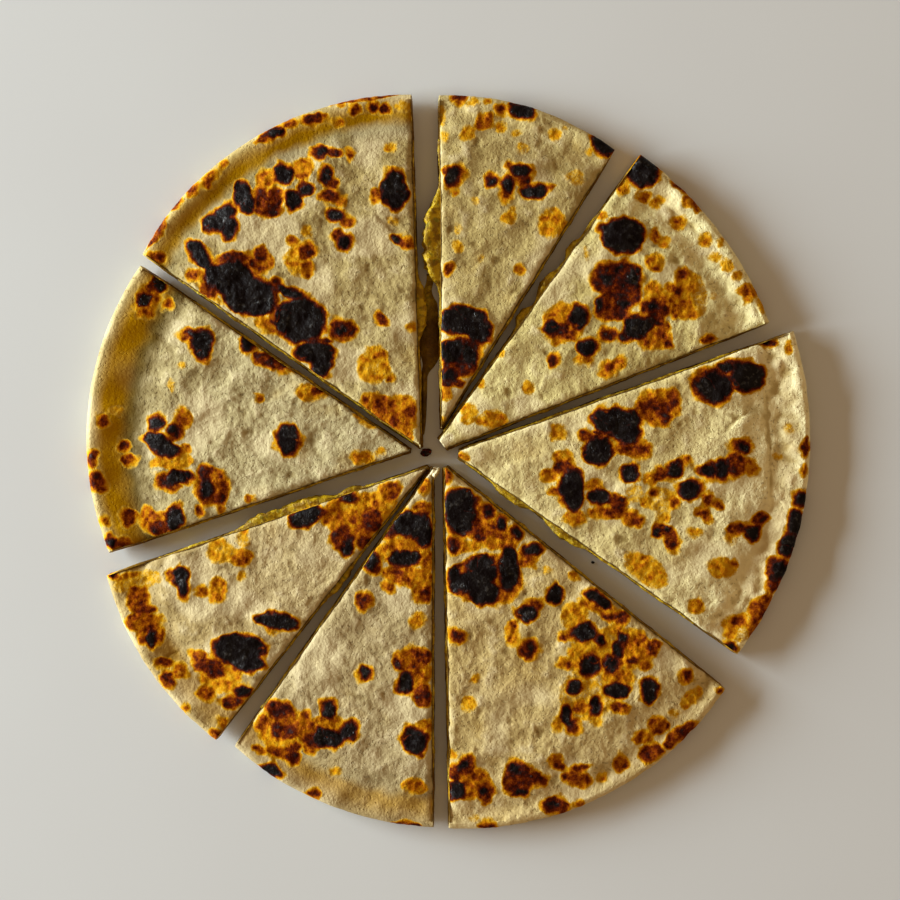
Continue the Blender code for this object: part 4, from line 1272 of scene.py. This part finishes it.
def bare_skin(nodes, grain, height, pits_bump_and_shade):
    """Cream skin with painted light and shade: painted shade in its hollows, pits and on the slope
    to the groove, painted highlights where raised, oil on the rim, and crumb where it is cut.
    """
    # the bare skin's colour carries painted light and shade
    skin = nodes.field("skin", "Color")
    mottle = nodes.remap(nodes.noise(5.0, 3.0, 0.6), 0.35, 0.65, 0.0, 0.5)
    ochre = nodes.remap(nodes.noise(13.0, 2.0), 0.55, 0.75, 0.0, 0.30)
    for share, colour, blend in (
            (mottle, MOTTLED, "MULTIPLY"),
            # painted shade in the hollows of the relief
            (nodes.remap(height, 0.0, -0.4, 0.0, 0.7), PAINTED_HOLLOW_SHADE, "MULTIPLY"),
            # painted highlight on raised skin
            (nodes.remap(height, 0.0, 0.35, 0.0, 0.6), linear(*PAINTED_HIGHLIGHT_SKIN), "MIX"),
            (ochre, linear(*OCHRE_SKIN), "MIX"),
            (nodes.times(nodes.field("puffed"), 0.5), linear(*PUFFED_SKIN), "MIX"),
            # painted shade in the pits
            (nodes.times(pits_bump_and_shade, 0.45), PAINTED_PIT_SHADE, "MULTIPLY"),
            (nodes.field("oil"), linear(*OILY_SKIN), "MIX"),
            # painted shade on the slope to the groove
            (nodes.field("slope"), SLOPE_PAINTED_SHADE_COLOUR, "MULTIPLY"),
            (nodes.times(nodes.field("pale"), 0.85), linear(*TORN_DOUGH), "MIX")):
        skin = nodes.mix(share, skin, colour, blend)
    lighter, darker = CUT_DOUGH_AND_PAINTED_SHADE
    # crumb of the cut faces, darkened with painted shade of the gaps
    crumb = nodes.mix(nodes.remap(grain, 0.3, 0.7), linear(*lighter), linear(*darker))
    return nodes.mix(nodes.field("inside"), skin, crumb)


def browned_depth(nodes, grain):
    """How deeply the skin is browned, unsteady where it is browned at all."""
    rough_grain = nodes.maths("MULTIPLY_ADD", grain, GRAIN_SHAKE, -GRAIN_SHAKE / 2.0)
    fine = nodes.maths("MULTIPLY_ADD", nodes.noise(0.5, 2.0), FINE_SHAKE, -FINE_SHAKE / 2.0)
    shaken = nodes.maths("ADD", rough_grain, fine)
    burn = nodes.field("burn")
    return nodes.maths("ADD", burn, nodes.times(shaken, nodes.remap(burn, 0.05, 0.35)))


def dough_gloss(nodes, depth):
    """Roughness and gloss: oily skin is smoother, and char glints here and there."""
    roughness = nodes.remap(depth, 0.5, 1.0, 0.62, 0.5)
    roughness = nodes.maths("MULTIPLY_ADD", nodes.field("oil"), -0.18, roughness)
    nodes.shade("Roughness", roughness)
    sheen = nodes.times(nodes.remap(nodes.field("oil"), 0.0, 0.6, 0.14, 0.02),
                        nodes.remap(depth, 0.1, 0.35, 1.0, 0.12))
    glints = nodes.times(nodes.remap(nodes.noise(1.5, 2.0), 0.54, 0.72, 0.12, 0.7),
                         nodes.remap(nodes.noise(4.5, 1.0), 0.4, 0.6, 0.25))
    glossy = nodes.maths("MULTIPLY_ADD", nodes.remap(depth, 0.8, 1.0), glints, sheen)
    nodes.shade("Specular IOR Level", glossy)


def dough_material():
    """Cream dough skin with painted light and shade, browned and charred in marks, with painted
    highlights on raised skin, oily at the rim and porous where cut.
    """
    nodes = Nodes("kulcha_dough")
    grain = nodes.noise(1.0, 3.0, 0.6)
    height = nodes.field("height")
    # pits: they sink the bump, and darken the skin as painted shade
    pits_bump_and_shade = nodes.times(nodes.remap(nodes.noise(1.15, 2.0, 0.55), 0.60, 0.70),
                        nodes.remap(nodes.field("puffed"), 0.0, 1.0, 1.0, 0.15))
    skin = bare_skin(nodes, grain, height, pits_bump_and_shade)
    depth = browned_depth(nodes, grain)
    browned = nodes.ramp(nodes.times(depth, 1.0 / DEEPEST), BROWNED)
    # painted highlight on raised golden skin
    raised = nodes.times(nodes.remap(height, 0.15, 0.6, 0.0, 0.4), nodes.remap(depth, 0.75, 0.4))
    browned = nodes.mix(raised, browned, linear(*PAINTED_HIGHLIGHT_GOLD))
    colour = nodes.mix(nodes.remap(depth, 0.12, 0.34), skin, browned)
    nodes.shade("Base Color", colour)
    dough_gloss(nodes, depth)
    fine_height = nodes.maths("MULTIPLY_ADD", nodes.noise(1.5, 2.0), 0.8,
                              nodes.noise(0.8, 3.0, 0.6))
    nodes.bump(nodes.maths("MULTIPLY_ADD", pits_bump_and_shade, -0.8, fine_height), DOUGH_BUMP)
    return nodes.material


def filling_material():
    """Turmeric-yellow mash with pale bits of paneer and flecks of green, darkened with painted
    shade on the smear.
    """
    nodes = Nodes("kulcha_filling")
    lighter, darker = MASH
    colour = nodes.mix(nodes.remap(nodes.noise(2.4, 3.0), 0.4, 0.6), linear(*lighter),
                       linear(*darker))
    paneer = nodes.remap(nodes.noise(3.0, 3.0, 0.5), 0.58, 0.68, 0.0, 0.8)
    colour = nodes.mix(paneer, colour, linear(*PANEER))
    green = nodes.remap(nodes.noise(1.9, 2.0, 0.4), 0.40, 0.30, 0.0, 0.6)
    colour = nodes.mix(green, colour, linear(*GREEN_FLECKS))
    # painted shade on the smear
    colour = nodes.mix(nodes.field("painted_shade"), colour, linear(*PAINTED_SHADE_MASH))
    nodes.shade("Base Color", colour)
    nodes.shade("Roughness", FILLING_ROUGH)
    nodes.shade("Specular IOR Level", FILLING_GLOSS)
    nodes.bump(nodes.noise(1.2, 4.0, 0.6), FILLING_BUMP)
    return nodes.material


def floor_material():
    nodes = Nodes("floor")
    lighter, darker = FLOOR
    colour = nodes.mix(nodes.noise(60.0, 1.0), linear(*lighter), linear(*darker))
    nodes.shade("Base Color", colour)
    nodes.shade("Roughness", FLOOR_ROUGH)
    nodes.shade("Specular IOR Level", FLOOR_GLOSS)
    return nodes.material


# ================================================================ scene

def bread_shift():
    """From the bread's own frame to the CAD's, whose origin is under the middle of the box."""
    share = np.linspace(0.0, 1.0, OUTLINE_STEPS)
    rims = np.concatenate([np.stack(spots(cut_slice, cut_slice.blunt, share, fraction), axis=1)
                           for cut_slice in SLICES
                           for fraction in (cut_slice.blunt / cut_slice.reach[1], 1.0)])
    low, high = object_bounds()
    middle = (np.array(low[:2]) + np.array(high[:2])) / 2.0 / MM
    return middle - (rims.min(axis=0) + rims.max(axis=0)) / 2.0


def make_floor():
    mesh = bpy.data.meshes.new("floor")
    mesh.from_pydata([(FLOOR_HALF * x, FLOOR_HALF * y, 0)
                      for x, y in ((-1, -1), (1, -1), (1, 1), (-1, 1))], [], [(0, 1, 2, 3)])
    mesh.materials.append(floor_material())
    add_object("floor", mesh)


def make_camera(shift):
    camera = bpy.data.cameras.new("camera")
    camera.sensor_width = SENSOR
    camera.lens = SENSOR * (CAMERA_HEIGHT - BREAD_TOP) / VIEW_WIDTH
    camera.clip_start = 0.01
    holder = add_object("camera", camera)
    holder.location = ((CAMERA_MIDDLE[0] + shift[0]) * MM, (CAMERA_MIDDLE[1] + shift[1]) * MM,
                       CAMERA_HEIGHT * MM)
    bpy.context.scene.camera = holder


def aimed(place, target):
    """Rotation that points a light at a target."""
    line = target[0] - place[0], target[1] - place[1], target[2] - place[2]
    flat = math.hypot(line[0], line[1])
    return (math.atan2(flat, -line[2]), 0.0, math.atan2(line[1], line[0]) - math.pi / 2.0)


def window_light():
    """A broad low source on the left, as a window gives, with soft-edged shadows."""
    light = bpy.data.lights.new("window", "AREA")
    light.shape = "RECTANGLE"
    light.size, light.size_y = WINDOW_SIZE
    light.energy = WINDOW_POWER
    light.color = WINDOW_COLOUR
    holder = add_object("window", light)
    holder.location = WINDOW_PLACE
    holder.rotation_euler = aimed(WINDOW_PLACE, (0.0, 0.0, 0.0))
    holder.visible_camera = False


def make_lights():
    """The window, and a room that is warmer and darker than it."""
    window_light()
    world = bpy.data.worlds.new("studio")
    world.use_nodes = True
    tree = world.node_tree
    direction = tree.nodes.new("ShaderNodeTexCoord").outputs["Generated"]
    apart = tree.nodes.new("ShaderNodeSeparateXYZ")
    ramp = tree.nodes.new("ShaderNodeValToRGB")
    ramp.color_ramp.elements[0].color = ROOM_HORIZON
    ramp.color_ramp.elements[1].color = ROOM_ZENITH
    background = tree.nodes["Background"]
    tree.links.new(direction, apart.inputs["Vector"])
    tree.links.new(apart.outputs["Z"], ramp.inputs["Fac"])
    tree.links.new(ramp.outputs["Color"], background.inputs["Color"])
    background.inputs["Strength"].default_value = ROOM_STRENGTH
    bpy.context.scene.world = world


def make_slices(move, dough, filling):
    for cut_slice in SLICES:
        points, triangles, fields = shaped_dough(cut_slice)
        if cut_slice.name == "s":
            points, triangles, fields = with_torn_tip(points, triangles, fields)
        make_piece("kulcha_dough_" + cut_slice.name, points + move, triangles, fields, dough,
                   "dough_" + cut_slice.name)
        points, triangles, fields = shaped_filling(cut_slice)
        make_piece("kulcha_filling_" + cut_slice.name, points + move, triangles, fields, filling,
                   "filling_" + cut_slice.name)


def make_bits(move, dough, filling):
    points, triangles, fields = smear_piece()
    make_piece("kulcha_smear", points + move, triangles, fields, filling,
               "filling_smear")
    for name, bit, node in (("crumb", CRUMB, "burnt_crumb"), ("speck", SPECK, None)):
        points, triangles = bit_form(bit)
        make_piece("kulcha_" + name, points + move, triangles, bit_fields(points, bit), dough,
                   node)


def main():
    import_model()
    shift = bread_shift()
    move = np.array((shift[0], shift[1], 0.0))
    dough = dough_material()
    filling = filling_material()
    make_slices(move, dough, filling)
    make_bits(move, dough, filling)
    make_floor()
    make_camera(shift)
    make_lights()
    bpy.context.scene.view_settings.view_transform = "Standard"


main()
